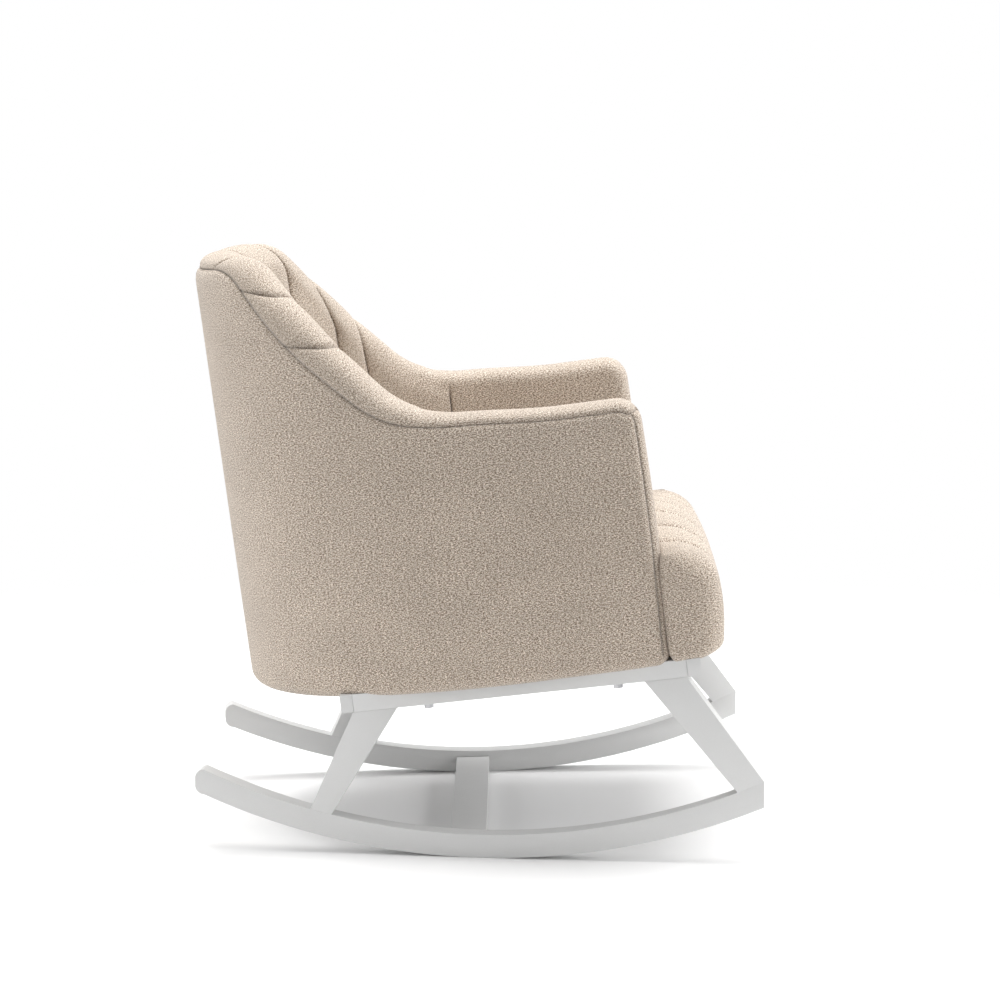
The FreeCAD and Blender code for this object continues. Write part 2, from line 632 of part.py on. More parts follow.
for side_name, side in SIDES.items():
    end = "(arm_split - fit / 2)"
    panel = make_wall(f"arm_panel_{side_name}_body",
                      wall_arm("panel_inset", "board_inset", "(arm_front + panel_front)", end, side),
                      pad_base, "panel_setback")
    node(panel, "arm_panel_" + side_name)
    liner = make_wall(f"arm_liner_{side_name}_body",
                      wall_arm("liner_inset", "liner_inner", "(arm_front + liner_front)", end, side),
                      "liner_lift", "liner_drop")
    node(liner, "arm_liner_" + side_name)
    block = make_wall(f"arm_foam_{side_name}_block",
                      wall_arm("foam_inset", "foam_inner", "(arm_front + foam_inset)", end, side),
                      pad_base, "foam_inset")
    recess = make_wall(f"arm_foam_{side_name}_recess",
                       wall_arm("0", "(board_inset + fit)", "(arm_front + panel_front - fit)",
                                "(arm_split + fit)", side),
                       "0", "(panel_setback - fit)")
    node(cut(f"arm_foam_{side_name}_cut", block, recess), "arm_foam_" + side_name)
    skin = make_wall(f"arm_cover_{side_name}_skin",
                     wall_arm("0", "wall_thickness", "arm_front", end, side), pad_base, "0")
    hollow = make_wall(f"arm_cover_{side_name}_hollow",
                       wall_arm("cover_thickness", "(wall_thickness - cover_thickness)",
                                "(arm_front + cover_thickness)", "(arm_split + fit)", side),
                       "0", "cover_thickness")
    lower = make_wall(f"arm_cover_{side_name}_lower",
                      wall_arm("(-1)", "(cover_thickness + fit)", "(arm_front - 1)",
                               "(arm_split + fit)", side),
                      "0", "outer_seam_drop")
    both = fuse(f"arm_cover_{side_name}_void", [hollow, lower])
    node(cut(f"arm_cover_{side_name}_cut", skin, both), "arm_cover_" + side_name)

start = "(arm_split + fit / 2)"
back_base = "(foam_base + fit)"
back_panel = make_wall("back_panel_body", wall_back("panel_inset", "board_inset", start),
                       pad_base, "panel_setback")
node(back_panel, "back_panel")
back_liner = make_wall("back_liner_body", wall_back("liner_inset", "liner_inner", start),
                       "liner_lift", "liner_drop")
node(back_liner, "back_liner")
back_block = make_wall("back_foam_block", wall_back("foam_inset", "foam_inner", start), back_base,
                       "foam_inset")
back_recess = make_wall("back_foam_recess", wall_back("0", "(board_inset + fit)", "(arm_split - fit)"),
                        "0", "(panel_setback - fit)")
node(cut("back_foam_cut", back_block, back_recess), "back_foam")
back_skin = make_wall("back_cover_skin", wall_back("0", "wall_thickness", start), back_base, "0")
back_hollow = make_wall("back_cover_hollow",
                        wall_back("cover_thickness", "(wall_thickness - cover_thickness)",
                                  "(arm_split - fit)"),
                        "0", "cover_thickness")
back_lower = make_wall("back_cover_lower", wall_back("(-1)", "(cover_thickness + fit)", "(arm_split - fit)"),
                       "0", "outer_seam_drop")
node(cut("back_cover_cut", back_skin, fuse("back_cover_void", [back_hollow, back_lower])), "back_cover")

# ---------------------------------------------------------------- seat frame

for side_name, side in SIDES.items():
    bar = make_toed_bar("seat_rail_" + side_name, side, "seat_rail_front", "seat_rail_back",
                        ("seat_rail_inset", "(seat_rail_inset + seat_rail_depth)"), "seat_rail_height",
                        "seat_rail_lift")
    node(cut("seat_rail_" + side_name + "_bored", bar, bolt_bore_set), "seat_rail_" + side_name)

front_low = "(seat_rail_front - fit - seat_rail_thickness)"
node(box("seat_rail_front_bar", "2 * front_rail_half", "seat_rail_thickness", "seat_rail_height",
         moved(TUB, "-front_rail_half", front_low, "seat_rail_lift")), "seat_rail_front")

back_rail = new_body("seat_rail_back_body", moved(TUB, 0, 0, "seat_rail_top - back_rail_height"))
corners, arcs = wall_back("(liner_inner + fit)", "back_rail_depth", "(seat_rail_back + fit)")
pad(back_rail, profile(back_rail, "XY_Plane", "seat_rail_back_plan", corners, arcs), "back_rail_height")
node(back_rail, "seat_rail_back")

blocks = []
for side_name, side in SIDES.items():
    body = new_body("corner_block_" + side_name, moved(TUB, 0, 0, "seat_rail_lift"))
    corner_y = "(seat_rail_front + fit)"
    inside = "(seat_rail_inset + seat_rail_depth + fit)"
    corners = [
        (frame_x(corner_y, side, inside), corner_y),
        (f"({frame_x(corner_y, side, inside)} - {side} * block_leg)", corner_y),
        (frame_x(f"({corner_y} + block_leg)", side, inside), f"({corner_y} + block_leg)"),
    ]
    pad(body, profile(body, "XY_Plane", f"corner_block_{side_name}_plan", corners), "block_height")
    blocks.append(body)
node(group("corner_block_set", blocks), "corner_blocks")

# ---------------------------------------------------------------- springs

def spring_path(x, front, back):
    """The middle line of one sinuous spring: straight runs across, joined by half circles."""
    bends = round((back - front) / size("spring_pitch"))
    pitch = (back - front) / bends
    half = (size("spring_span") - pitch) / 2
    height = size("spring_z")
    edges = []
    for bend in range(bends + 1):
        y = front + bend * pitch
        sense = 1 if bend % 2 == 0 else -1
        a = Vector(x - sense * half, y, height)
        b = Vector(x + sense * half, y, height)
        edges.append(Part.makeLine(a, b))
        if bend < bends:
            after = Vector(b.x, y + pitch, height)
            middle = Vector(b.x + sense * pitch / 2, y + pitch / 2, height)
            edges.append(Part.Arc(b, middle, after).toShape())
    return Part.Wire(edges)


def sweep(path, radius):
    """A round wire along a path."""
    start = path.Edges[0]
    ring = Part.Wire(Part.makeCircle(radius, start.firstVertex().Point,
                                     start.tangentAt(start.FirstParameter)))
    return path.makePipeShell([ring], True, False)


tub_place = FreeCAD.Placement(Vector(0, 0, size("tub_base")),
                              FreeCAD.Rotation(Vector(1, 0, 0), -size("recline")))
spring_solids, clips = [], []
for index in range(SPRINGS):
    x = (index - (SPRINGS - 1) / 2) * size("spring_spacing")
    inner = size("back_radius - back_rail_depth")
    front = size("seat_rail_front - fit - spring_landing")
    back = size("back_centre + spring_landing") + math.sqrt(inner ** 2 - x ** 2)
    spring_solids.append(sweep(spring_path(x, front, back), size("spring_wire / 2")))
    for end_name, y in (("front", front), ("back", back)):
        name = f"clip_{end_name}_{index}"
        block = box(name + "_block", "clip_length", "clip_length", "clip_height",
                    moved(TUB, f"{x} - clip_length / 2", f"{y} - clip_length / 2", "seat_rail_top + fit"))
        groove = cylinder(name + "_groove", "spring_wire / 2 + bore_fit", "clip_length + 2",
                          across(TUB, f"{x} - clip_length / 2 - 1", y, "spring_z"))
        clips.append(cut(name, block, groove))
springs = doc.addObject("Part::Feature", "spring_set")
springs.Shape = Part.makeCompound(spring_solids)
springs.Placement = tub_place
node(springs, "seat_springs")
node(group("clip_set", clips), "spring_clips")

# ---------------------------------------------------------------- seat cushion

def seat_plan(inset, front_inset, gap):
    """Plan of the T-shaped seat: full width ahead of the arms, between them behind."""
    front = f"(seat_front + {front_inset})"
    wide = f"(half_width - {inset})"
    step = f"(arm_front - {gap})"
    wall = f"(wall_thickness + {gap})"
    round_in = f"(seat_corner - {inset})"
    right = [(f"({wide} - {round_in})", front), (wide, f"({front} + {round_in})"), (wide, step),
             arm_point(wall, 1, step), arm_point(wall, 1, "side_start"), arc_point(wall, 1)]
    left = [(f"(-1 * {x})", y) for x, y in reversed(right)]
    arcs = {0: (round_in, 1), 4: (f"side_radius - {wall}", 1), 5: (f"back_radius - {wall}", 1),
            6: (f"side_radius - {wall}", 1), 10: (round_in, 1)}
    return right + left, arcs


def make_slab(name, plan, base, height):
    body = new_body(name, moved(TUB, 0, 0, base))
    pad(body, profile(body, "XY_Plane", name + "_plan", *plan), height)
    return body


def front_block(name, inset, base):
    """The padding that wraps the front rail, below the seat slab."""
    wide = f"(half_width - {inset})"
    round_in = f"(seat_corner - {inset})"
    front = f"(seat_front + {inset})"
    step = "(arm_front - fit)"
    wing = "(front_rail_half + fit)"
    face = f"({front_low} - fit)"
    right = [(f"({wide} - {round_in})", front), (wide, f"({front} + {round_in})"), (wide, step),
             (wing, step), (wing, face)]
    left = [(f"(-1 * {x})", y) for x, y in reversed(right)]
    return make_slab(name, (right + left, {0: (round_in, 1), 8: (round_in, 1)}), base, f"foam_base - {base}")


top_of_foam = "(seat_height - foam_base)"
seat_slab = make_slab("seat_slab", seat_plan("cover_thickness", "cover_thickness", "(fit + cover_thickness)"),
                      "foam_base", top_of_foam)
seat_apron = front_block("seat_apron", "cover_thickness", "cover_thickness")
node(fuse("seat_foam_fused", [seat_slab, seat_apron]), "seat_foam")
cover_slab = make_slab("seat_cover_slab", seat_plan("0", "0", "fit"), "foam_base",
                       "seat_height - foam_base + cover_thickness")
cover_apron = front_block("seat_cover_apron", "0", "0")
cover_blank = fuse("seat_cover_blank", [cover_slab, cover_apron])
hollow_slab = make_slab("seat_hollow_slab",
                        seat_plan("cover_thickness", "cover_thickness", "(fit + cover_thickness)"),
                        "foam_base - fit", "seat_height - foam_base + fit")
hollow_apron = front_block("seat_hollow_apron", "cover_thickness", "cover_thickness")
node(cut("seat_cover_cut", cover_blank, fuse("seat_hollow", [hollow_slab, hollow_apron])), "seat_cover")

felt_edge = "(wall_thickness + fit)"
right = [(f"(front_rail_half)", "(seat_rail_front - seat_rail_thickness)"),
         ("front_rail_half", "(arm_front - 2 * fit)"),
         arm_point(felt_edge, 1, "(arm_front - 2 * fit)"), arm_point(felt_edge, 1, "side_start"),
         arc_point(felt_edge, 1)]
left = [(f"(-1 * {x})", y) for x, y in reversed(right)]
felt_arcs = {3: (f"side_radius - {felt_edge}", 1), 4: (f"back_radius - {felt_edge}", 1),
             5: (f"side_radius - {felt_edge}", 1)}
node(make_slab("insulator_slab", (right + left, felt_arcs),
               "felt_base", "insulator_thickness"), "spring_insulator")

dust_edge = "dust_cover_inset"
dust_right = [("(front_rail_half)", front_low), ("front_rail_half", "arm_front"),
              arm_point(dust_edge, 1, "arm_front"), arm_point(dust_edge, 1, "side_start"),
              arc_point(dust_edge, 1)]
dust_left = [(f"(-1 * {x})", y) for x, y in reversed(dust_right)]
dust_arcs = {3: (f"side_radius - {dust_edge}", 1), 4: (f"back_radius - {dust_edge}", 1),
             5: (f"side_radius - {dust_edge}", 1)}
dust_sheet = make_slab("dust_sheet", (dust_right + dust_left, dust_arcs), "0", "dust_cover_thickness")
node(cut("dust_cover_cut", dust_sheet, bolt_bore_set), "dust_cover")

# ---------------------------------------------------------------- checks and files

doc.recompute()
for obj in doc.Objects:
    if "Invalid" in obj.State or "Error" in obj.State:
        raise RuntimeError(f"{obj.Name} did not build: {obj.State}")
os.makedirs(PARTS_FOLDER, exist_ok=True)
for obj in nodes:
    if obj.Shape.isNull() or not obj.Shape.isValid():
        raise RuntimeError(f"{obj.Label} has no valid shape")
    obj.Shape.exportStep(os.path.join(PARTS_FOLDER, obj.Label + ".step"))
print(len(nodes), "nodes written")
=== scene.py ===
import math

import bmesh
import bpy
import numpy as np
from bpy.props import FloatProperty, FloatVectorProperty, PointerProperty
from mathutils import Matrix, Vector


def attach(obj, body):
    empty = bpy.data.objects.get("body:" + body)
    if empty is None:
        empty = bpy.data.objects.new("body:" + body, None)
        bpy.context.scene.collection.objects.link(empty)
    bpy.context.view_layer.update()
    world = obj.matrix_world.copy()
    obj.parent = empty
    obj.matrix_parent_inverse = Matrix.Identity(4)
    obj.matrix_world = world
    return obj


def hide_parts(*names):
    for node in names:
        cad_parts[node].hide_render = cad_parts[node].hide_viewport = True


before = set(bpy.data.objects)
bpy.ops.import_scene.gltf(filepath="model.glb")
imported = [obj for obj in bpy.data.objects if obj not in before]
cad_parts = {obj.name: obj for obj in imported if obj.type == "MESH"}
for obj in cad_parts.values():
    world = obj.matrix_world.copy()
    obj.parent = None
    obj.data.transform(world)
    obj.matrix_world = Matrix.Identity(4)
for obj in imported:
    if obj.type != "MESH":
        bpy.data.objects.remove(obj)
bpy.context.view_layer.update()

bl_info = {
    "name": "Nursery rocking chair",
    "version": (1, 0, 0),
    "blender": (4, 5, 0),
    "location": "3D View > Sidebar > Chair",
    "description": "Builds an upholstered rocking chair around its packed frame",
    "category": "Add Mesh",
}

PAINTED = ("runner_left", "runner_right", "front_leg_left", "front_leg_right", "rear_leg_left",
           "rear_leg_right", "side_rail_left", "side_rail_right", "front_cross_rail", "rear_cross_rail",
           "stretcher")
BARE_WOOD = ("leg_dowels", "stretcher_dowels", "seat_rail_left", "seat_rail_right", "seat_rail_front",
             "seat_rail_back", "corner_blocks")
PLYWOOD = ("arm_panel_left", "arm_panel_right", "back_panel")
FIBREBOARD = ("arm_liner_left", "arm_liner_right", "back_liner")
STEEL = ("cross_rail_screws", "seat_bolts", "bolt_washers", "threaded_inserts", "seat_springs",
         "spring_clips")
FELT = ("felt_pads", "spring_insulator")
LINING = ("dust_cover",)

# the wall's edge: how far its round reaches, and how much of the arm's front counts as its edge
BEND = 0.042
FRONT_ZONE = 0.034
# seams of the back beside its middle, along the top edge: place, drift to the outer seam, drift over the
# inner edge, place at the seat
FAN_TOP = (0.048, 0.145, 0.242, 0.318)
FAN_REAR = (0.007, 0.021, 0.032, 0.030)
FAN_INNER = (0.022, 0.062, 0.062, 0.034)
FAN_FOOT = (0.056, 0.168, 0.272, 0.348)
ARM_SEAM_Y = 0.000
SEAT_SEAMS = (0.050, 0.150, 0.245)
STRIP_ROWS = 12
COLUMN_STEP = 0.0062
BACK_PUFF = 0.0070
SEAT_PUFF = 0.005
# creases along the seams, as depth and width, and the width of the line of painted shade that darkens the
# fabric colour along each
OUTER_CREASE = (0.0028, 0.0034)
BACK_CREASE = (0.0038, 0.0022)
SEAT_CREASE = (0.0055, 0.0030)
OUTER_SHADE_LINE = 0.0013
BACK_SHADE_LINE = 0.0016
SEAT_SHADE_LINE = 0.0018
COVER_THICKNESS = 0.0018
PAD_THICKNESS = 0.006
EASED_EDGE = 0.0016
WELD_DISTANCE = 0.00005
WARP_PITCH = 0.0024
WEFT_PITCH = 0.0022


# ---------------------------------------------------------------- sizes and colours

def length(name, default, description):
    return FloatProperty(name=name, description=description, default=default, unit="LENGTH", precision=4)


def angle(name, default, description):
    return FloatProperty(name=name, description=description, default=math.radians(default), subtype="ANGLE")


def colour(name, default, description):
    return FloatVectorProperty(name=name, description=description, default=default, subtype="COLOR", size=3,
                               min=0, max=1)


class ChairTubSettings(bpy.types.PropertyGroup):
    """Sizes of the padded tub, in its own upright frame"""
    recline: angle("Recline", 7.5, "How far the tub is tipped back")
    base: length("Base", 0.26203, "Height of the tub's underside at the origin")
    half_width: length("Half width", 0.333, "Half of the width at the arms")
    side_start: length("Side start", -0.090, "Where the straight arms begin to curve inwards")
    side_radius: length("Side radius", 0.600, "Radius of the tub's side")
    side_angle: angle("Side angle", 26, "How far the side turns before the back's arc")
    arm_front: length("Arm front", -0.285, "Front of the arms")
    wall: length("Wall", 0.074, "Thickness of the padded arms and back")
    arm_height: length("Arm height", 0.386, "Top of the arms")
    back_height: length("Back height", 0.638, "Top of the back")
    rise_start: length("Rise start", -0.035, "Where the top edge leaves the arms")
    rise_radius: length("Rise radius", 0.160, "Hollow of the top edge above the arms")
    rise_angle: angle("Rise angle", 50, "Slope of the top edge")
    crest_radius: length("Crest radius", 0.061, "Round of the top edge beside the crest")
    edge_arm: length("Arm edge", 0.024, "Rounding of the arm's top and front edges")
    edge_back: length("Back edge", 0.036, "Rounding of the back's top edge")
    corner: length("Arm corner", 0.034, "Rounding of the arm's top front corner")
    seam_arm: length("Arm seam", 0.015, "Outer seam below the arm's top")
    seam_wing: length("Wing seam", 0.038, "Outer seam below the wing's top edge")
    seam_back: length("Back seam", 0.014, "Outer seam below the top of the back")
    seam_front: length("Front seam", 0.010, "Outer seam behind the arm's front edge")
    arm_dip: length("Arm dip", 0.009, "How far the arm's top falls towards its front")
    wing_dip: length("Wing dip", 0.004, "How far the padding lets the wing's edge down")
    lumbar: length("Lumbar", 0.030, "How far the lower back swells into the seat")
    bulge: length("Bulge", 0.004, "How far the outside of the arms swells at mid height")
    bow: length("Bow", 0.004, "How far the arm's front bows forwards")
    under: length("Under", 0.020, "Rounding of the outside cover's bottom edge")
    skirt: length("Skirt", 0.010, "How far the outside cover hangs below the tub's underside")


class ChairSeatSettings(bpy.types.PropertyGroup):
    """Sizes of the seat, in the tub's frame"""
    front: length("Front", -0.361, "Front of the seat")
    height: length("Height", 0.145, "Top of the seat at its sides")
    crown: length("Crown", 0.030, "How far the middle of the seat stands above its sides")
    corner: length("Corner", 0.040, "Rounding of the seat's front corners, seen from above")
    edge: length("Edge", 0.040, "Rounding of the seat's top edge")
    under: length("Under", 0.012, "Rounding of the seat's bottom edge")
    droop: length("Droop", 0.006, "How far the seat's edge hangs below the tub's underside")


class ChairFinishSettings(bpy.types.PropertyGroup):
    """Colours of the fabric and the paint"""
    fabric: colour("Fabric", (0.46, 0.368, 0.290), "Main yarn colour")
    fabric_dark: colour("Dark yarn", (0.16, 0.115, 0.08), "Dark flecks")
    fabric_light: colour("Light yarn", (0.88, 0.80, 0.70), "Light flecks")
    paint: colour("Paint", (0.66, 0.66, 0.655), "Painted wood")


class ChairStageSettings(bpy.types.PropertyGroup):
    """Camera and floor"""
    camera_place: FloatVectorProperty(name="Camera", description="Camera position", subtype="TRANSLATION",
                                      default=(-4.8403, -0.0565, 1.1756))
    camera_turn: angle("Camera turn", 0.235, "Turn of the view towards the chair's back")
    camera_tip: angle("Camera tip", 8.165, "How far the camera looks down")
    lens: FloatProperty(name="Lens", description="Focal length on a 36 mm sensor", default=116.07)
    ambient: FloatProperty(name="Ambient", description="Even light from all round", default=0.58)
    top_power: FloatProperty(name="Top light", description="Power of the light overhead", default=140)
    front_power: FloatProperty(name="Front light", description="Power of the light in front", default=62)
    rear_power: FloatProperty(name="Rear light", description="Power of the light behind", default=32)


# ---------------------------------------------------------------- mesh helpers

def deselect():
    if bpy.context.object and bpy.context.object.mode != "OBJECT":
        bpy.ops.object.mode_set(mode="OBJECT")
    bpy.ops.object.select_all(action="DESELECT")


def activate(piece):
    deselect()
    piece.select_set(True)
    bpy.context.view_layer.objects.active = piece


def to_frame(tub, points):
    """Points of the tub's upright frame, tipped back into the chair's frame."""
    c, s = math.cos(tub.recline), math.sin(tub.recline)
    x, y, z = points.T
    return np.stack([x, y * c + z * s, tub.base + z * c - y * s], axis=1)


def smooth_step(value, low, high):
    t = np.clip((value - low) / (high - low), 0, 1)
    return t * t * (3 - 2 * t)


def add_object(name, data):
    piece = bpy.data.objects.new(name, data)
    bpy.context.scene.collection.objects.link(piece)
    return piece


def mesh_piece(name, points, faces, uvs=None, values=None):
    """A mesh object from arrays; uvs are per point, values are float attributes per point."""
    mesh = bpy.data.meshes.new(name)
    mesh.from_pydata([tuple(p) for p in points], [], [tuple(f) for f in faces])
    if uvs is not None:
        layer = mesh.uv_layers.new(name="cloth")
        index = np.zeros(len(mesh.loops), np.int32)
        mesh.loops.foreach_get("vertex_index", index)
        layer.data.foreach_set("uv", uvs[index].astype(np.float32).ravel())
    for key, array in (values or {}).items():
        attribute = mesh.attributes.new(key, "FLOAT", "POINT")
        attribute.data.foreach_set("value", array.astype(np.float32))
    return add_object(name, mesh)


def weld(piece):
    bm = bmesh.new()
    bm.from_mesh(piece.data)
    bmesh.ops.remove_doubles(bm, verts=bm.verts, dist=WELD_DISTANCE)
    bm.to_mesh(piece.data)
    bm.free()


def push(piece, key):
    """Moves every point along its normal by the value of an attribute."""
    mesh = piece.data
    count = len(mesh.vertices)
    points = np.zeros(count * 3, np.float32)
    mesh.vertices.foreach_get("co", points)
    normals = np.zeros(count * 3, np.float32)
    mesh.vertices.foreach_get("normal", normals)
    amount = np.zeros(count, np.float32)
    mesh.attributes[key].data.foreach_get("value", amount)
    moved = points.reshape(-1, 3) + normals.reshape(-1, 3) * amount[:, None]
    mesh.vertices.foreach_set("co", moved.ravel())
    mesh.update()


def thicken(piece, thickness):
    """Gives a surface a back, on the side away from its normals."""
    activate(piece)
    modifier = piece.modifiers.new("back", "SOLIDIFY")
    modifier.thickness = thickness
    modifier.offset = -1
    modifier.use_even_offset = False
    bpy.ops.object.modifier_apply(modifier=modifier.name)


def finish_soft(piece, material, nodes):
    piece.data.materials.append(material)
    activate(piece)
    bpy.ops.object.shade_smooth()
    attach(piece, "root")
    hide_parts(*nodes)


# ---------------------------------------------------------------- tub surface

def back_arc(tub):
    """Outer radius of the back and its centre, so that it runs smoothly on from the sides."""
    reach = tub.side_radius - tub.half_width
    return (tub.side_radius - reach / math.cos(tub.side_angle),
            tub.side_start + reach * math.tan(tub.side_angle))


def plan_runs(tub):
    """Lengths of the back's arc, of a side's arc and of an arm along the wall's middle line."""
    back = (back_arc(tub)[0] - tub.wall / 2) * (math.pi / 2 - tub.side_angle)
    flank = (tub.side_radius - tub.wall / 2) * tub.side_angle
    return back, flank, tub.side_start - tub.arm_front


def plan_point(tub, along, offset):
    """Plan of the wall: along its middle line from the middle of the back, moved outwards by offset."""
    side = np.where(along < 0, -1.0, 1.0)
    run = np.abs(along)
    back_run, flank_run, _ = plan_runs(tub)
    radius, centre = back_arc(tub)
    back = radius - tub.wall / 2
    flank = tub.side_radius - tub.wall / 2
    turn = np.minimum(run, back_run) / back
    x = (back + offset) * np.sin(turn)
    y = centre + (back + offset) * np.cos(turn)
    swing = tub.side_angle - np.clip(run - back_run, 0, flank_run) / flank
    rest = np.maximum(run - back_run - flank_run, 0)
    x = np.where(run > back_run, tub.half_width - tub.side_radius + (flank + offset) * np.cos(swing), x)
    y = np.where(run > back_run, tub.side_start + (flank + offset) * np.sin(swing) - rest, y)
    return side * x, y


def crest_height(tub, y):
    """Height of the top edge over a point of the middle line."""
    sine = math.sin(tub.rise_angle)
    cosine = math.cos(tub.rise_angle)
    rise = tub.rise_radius
    crest = tub.crest_radius
    crest_start = tub.rise_start + ((tub.back_height - tub.arm_height - rise - crest) * cosine
                                    + rise + crest) / sine
    low = np.clip(y - tub.rise_start, 0, rise * sine)
    hollow = tub.arm_height + rise - np.sqrt(rise ** 2 - low ** 2)
    slope = np.maximum(y - tub.rise_start - rise * sine, 0) * sine / cosine
    high = np.clip(crest_start - y, 0, crest * sine)
    top = tub.back_height - crest + np.sqrt(crest ** 2 - high ** 2)
    dip = tub.arm_dip * (1 - smooth_step(y, tub.rise_start - 0.14, tub.rise_start + 0.02))
    dip = dip + tub.wing_dip * smooth_step(y, tub.rise_start + 0.03, tub.rise_start + 0.10) * (
        1 - smooth_step(y, tub.rise_start + 0.22, tub.rise_start + 0.30))
    return np.where(crest_start - y < crest * sine, top, hollow + slope) - dip


def crest_line(tub, run):
    """Height and slope of the top edge along the middle line."""
    step = 0.0015
    heights = []
    for shift in (-step, 0, step):
        _, y = plan_point(tub, run + shift, 0)
        heights.append(crest_height(tub, y))
    return heights[1], np.arctan2(heights[2] - heights[0], 2 * step)


def wing_share(tub, run):
    """0 on the arms, 1 on the back."""
    _, y = plan_point(tub, run, 0)
    return smooth_step(y, tub.rise_start, tub.rise_start + 0.20)


def seam_depth(tub, run):
    """Distance of the outer seam below the top edge."""
    _, y = plan_point(tub, run, 0)
    wing = smooth_step(y, tub.rise_start - 0.01, tub.rise_start + 0.19)
    rear = smooth_step(y, tub.rise_start + 0.14, tub.rise_start + 0.30)
    return tub.seam_arm + (tub.seam_wing - tub.seam_arm) * wing + (tub.seam_back - tub.seam_wing) * rear


def surface(tub, face, run, depth, drop, foot):
    """Points of one face of the wall.

    run is the distance from the middle of the back along the top edge, depth the distance square to the
    edge (up to BEND), drop the share of the way from there to the bottom (0 to 1), foot the pair (run,
    height) where the column ends. Returns points of the right half in the tub's frame, and cloth
    coordinates."""
    total = sum(plan_runs(tub))
    height, slope = crest_line(tub, run)
    front = total - run
    near = np.minimum(front, depth)
    a = np.clip(tub.corner - front, 0, None)
    b = np.clip(tub.corner - depth, 0, None)
    both = (a > 0) & (b > 0)
    reach = np.hypot(a, b) + 1e-9
    scale = np.where(both, np.maximum(a, b) / reach, 1)
    front_round = np.where(a > 0, tub.corner - a * scale, front)
    depth_round = np.where(b > 0, tub.corner - b * scale, depth)
    here = total - front_round + depth_round * np.sin(slope)
    z = height - depth_round * np.cos(slope)
    foot_run, foot_z = foot
    ends_run = np.where(front < FRONT_ZONE, total - front_round, foot_run)
    here = here + (ends_run - here) * drop
    z = z + (foot_z - z) * drop
    share = wing_share(tub, run)
    edge = tub.edge_arm + (tub.edge_back - tub.edge_arm) * share
    power = 2.7 - 0.6 * share
    inner = 1 - np.clip(near / edge, 0, 1)
    half = tub.wall / 2 * np.clip(1 - inner ** power, 0, 1) ** (1 / power)
    if face < 0:
        low = np.clip((height - z) / (height - 0.10), 0, 1)
        half = half + tub.lumbar * np.sin(math.pi * np.clip(low * 0.62, 0, 0.5)) ** 1.5 * smooth_step(
            -run, -0.36, -0.20)
    x, y = plan_point(tub, here, face * half)
    lean = 1 - smooth_step(front, 0, 0.09)
    y = y - tub.bow * np.sin(math.pi * np.clip(z / tub.arm_height, 0, 1)) * lean
    return np.stack([x, y, z], axis=-1), np.stack([here, z], axis=-1)


def grid_faces(rows, columns, flip):
    faces = []
    for r in range(rows - 1):
        for c in range(columns - 1):
            a = r * columns + c
            quad = (a, a + 1, a + columns + 1, a + columns)
            faces.append(quad[::-1] if flip else quad)
    return faces


def edge_spread(count):
    """Shares from 0 to 1, close together near 0."""
    return 1 - np.cos(np.linspace(0, math.pi / 2, count))


def arm_seam_run(tub):
    back_run, flank_run, _ = plan_runs(tub)
    runs = np.linspace(back_run * 0.5, back_run + flank_run, 400)
    _, y = plan_point(tub, runs, 0)
    return float(np.interp(-ARM_SEAM_Y, -y, runs))


def column_runs(tub):
    """Distances of the columns of the right half, from the middle of the back to the arm's front."""
    total = sum(plan_runs(tub))
    fixed = [0.0, *FAN_TOP, arm_seam_run(tub), total - FRONT_ZONE]
    runs = [0.0]
    for start, end in zip(fixed[:-1], fixed[1:]):
        inner = np.linspace(start, end, max(2, round((end - start) / COLUMN_STEP) + 1))[1:]
        runs += list(inner)
        for seam, side in ((start, 1), (end, -1)):
            if seam not in (0.0, total - FRONT_ZONE):
                runs += [seam + side * 0.0014, seam + side * 0.0032]
    zone = total - FRONT_ZONE * edge_spread(13)
    near = zone[np.argmin(np.abs(zone - (total - tub.seam_front)))]
    zone = np.where(zone == near, total - tub.seam_front, zone)
    runs += list(zone)
    runs = np.unique(np.round(runs, 6))
    keep = [0]
    for index in range(1, len(runs)):
        if runs[index] - runs[keep[-1]] > 0.0007 or index == len(runs) - 1:
            keep.append(index)
    runs = runs[keep]
    for seam in (*FAN_TOP, arm_seam_run(tub), total - tub.seam_front):
        runs[np.argmin(np.abs(runs - seam))] = seam
    return runs


def seam_profile(distance, depth, width):
    """A crease: negative near a seam, fading out within about twice the width."""
    return -depth * np.exp(-(distance / width) ** 2)


# painted shade: 1 on a seam and fading off beside it; the fabric colour is darkened by it along the crease
def seam_shade_line(distance, width):
    return np.exp(-(distance / width) ** 2)


def channel_swell(runs, seams, puff):
    """How far the padding stands up between two seams, per column."""
    swell = np.zeros_like(runs)
    for low, high in zip(seams[:-1], seams[1:]):
        inside = (runs >= low) & (runs <= high)
        t = (runs - low) / (high - low)
        lift = puff * np.clip(1 - np.abs(2 * t - 1) ** 2.6, 0, 1) ** 0.75
        swell = np.where(inside, np.nan_to_num(lift), swell)
    return swell


def row_lengths(points):
    """Distance of every point from the top edge, measured down its column."""
    steps = np.linalg.norm(np.diff(points, axis=0), axis=-1)
    return np.concatenate([np.zeros((1, points.shape[1])), np.cumsum(steps, axis=0)])


def rows_down(edge_rows, count):
    """Depth and drop of a face's rows: the rows over the edge, then count rows down to its foot."""
    columns = edge_rows.shape[1]
    down = np.linspace(0, 1, count + 1)[1:]
    depth = np.vstack([edge_rows, np.full((count, columns), BEND)])
    drop = np.vstack([np.zeros_like(edge_rows), np.repeat(down[:, None], columns, axis=1)])
    return depth, drop


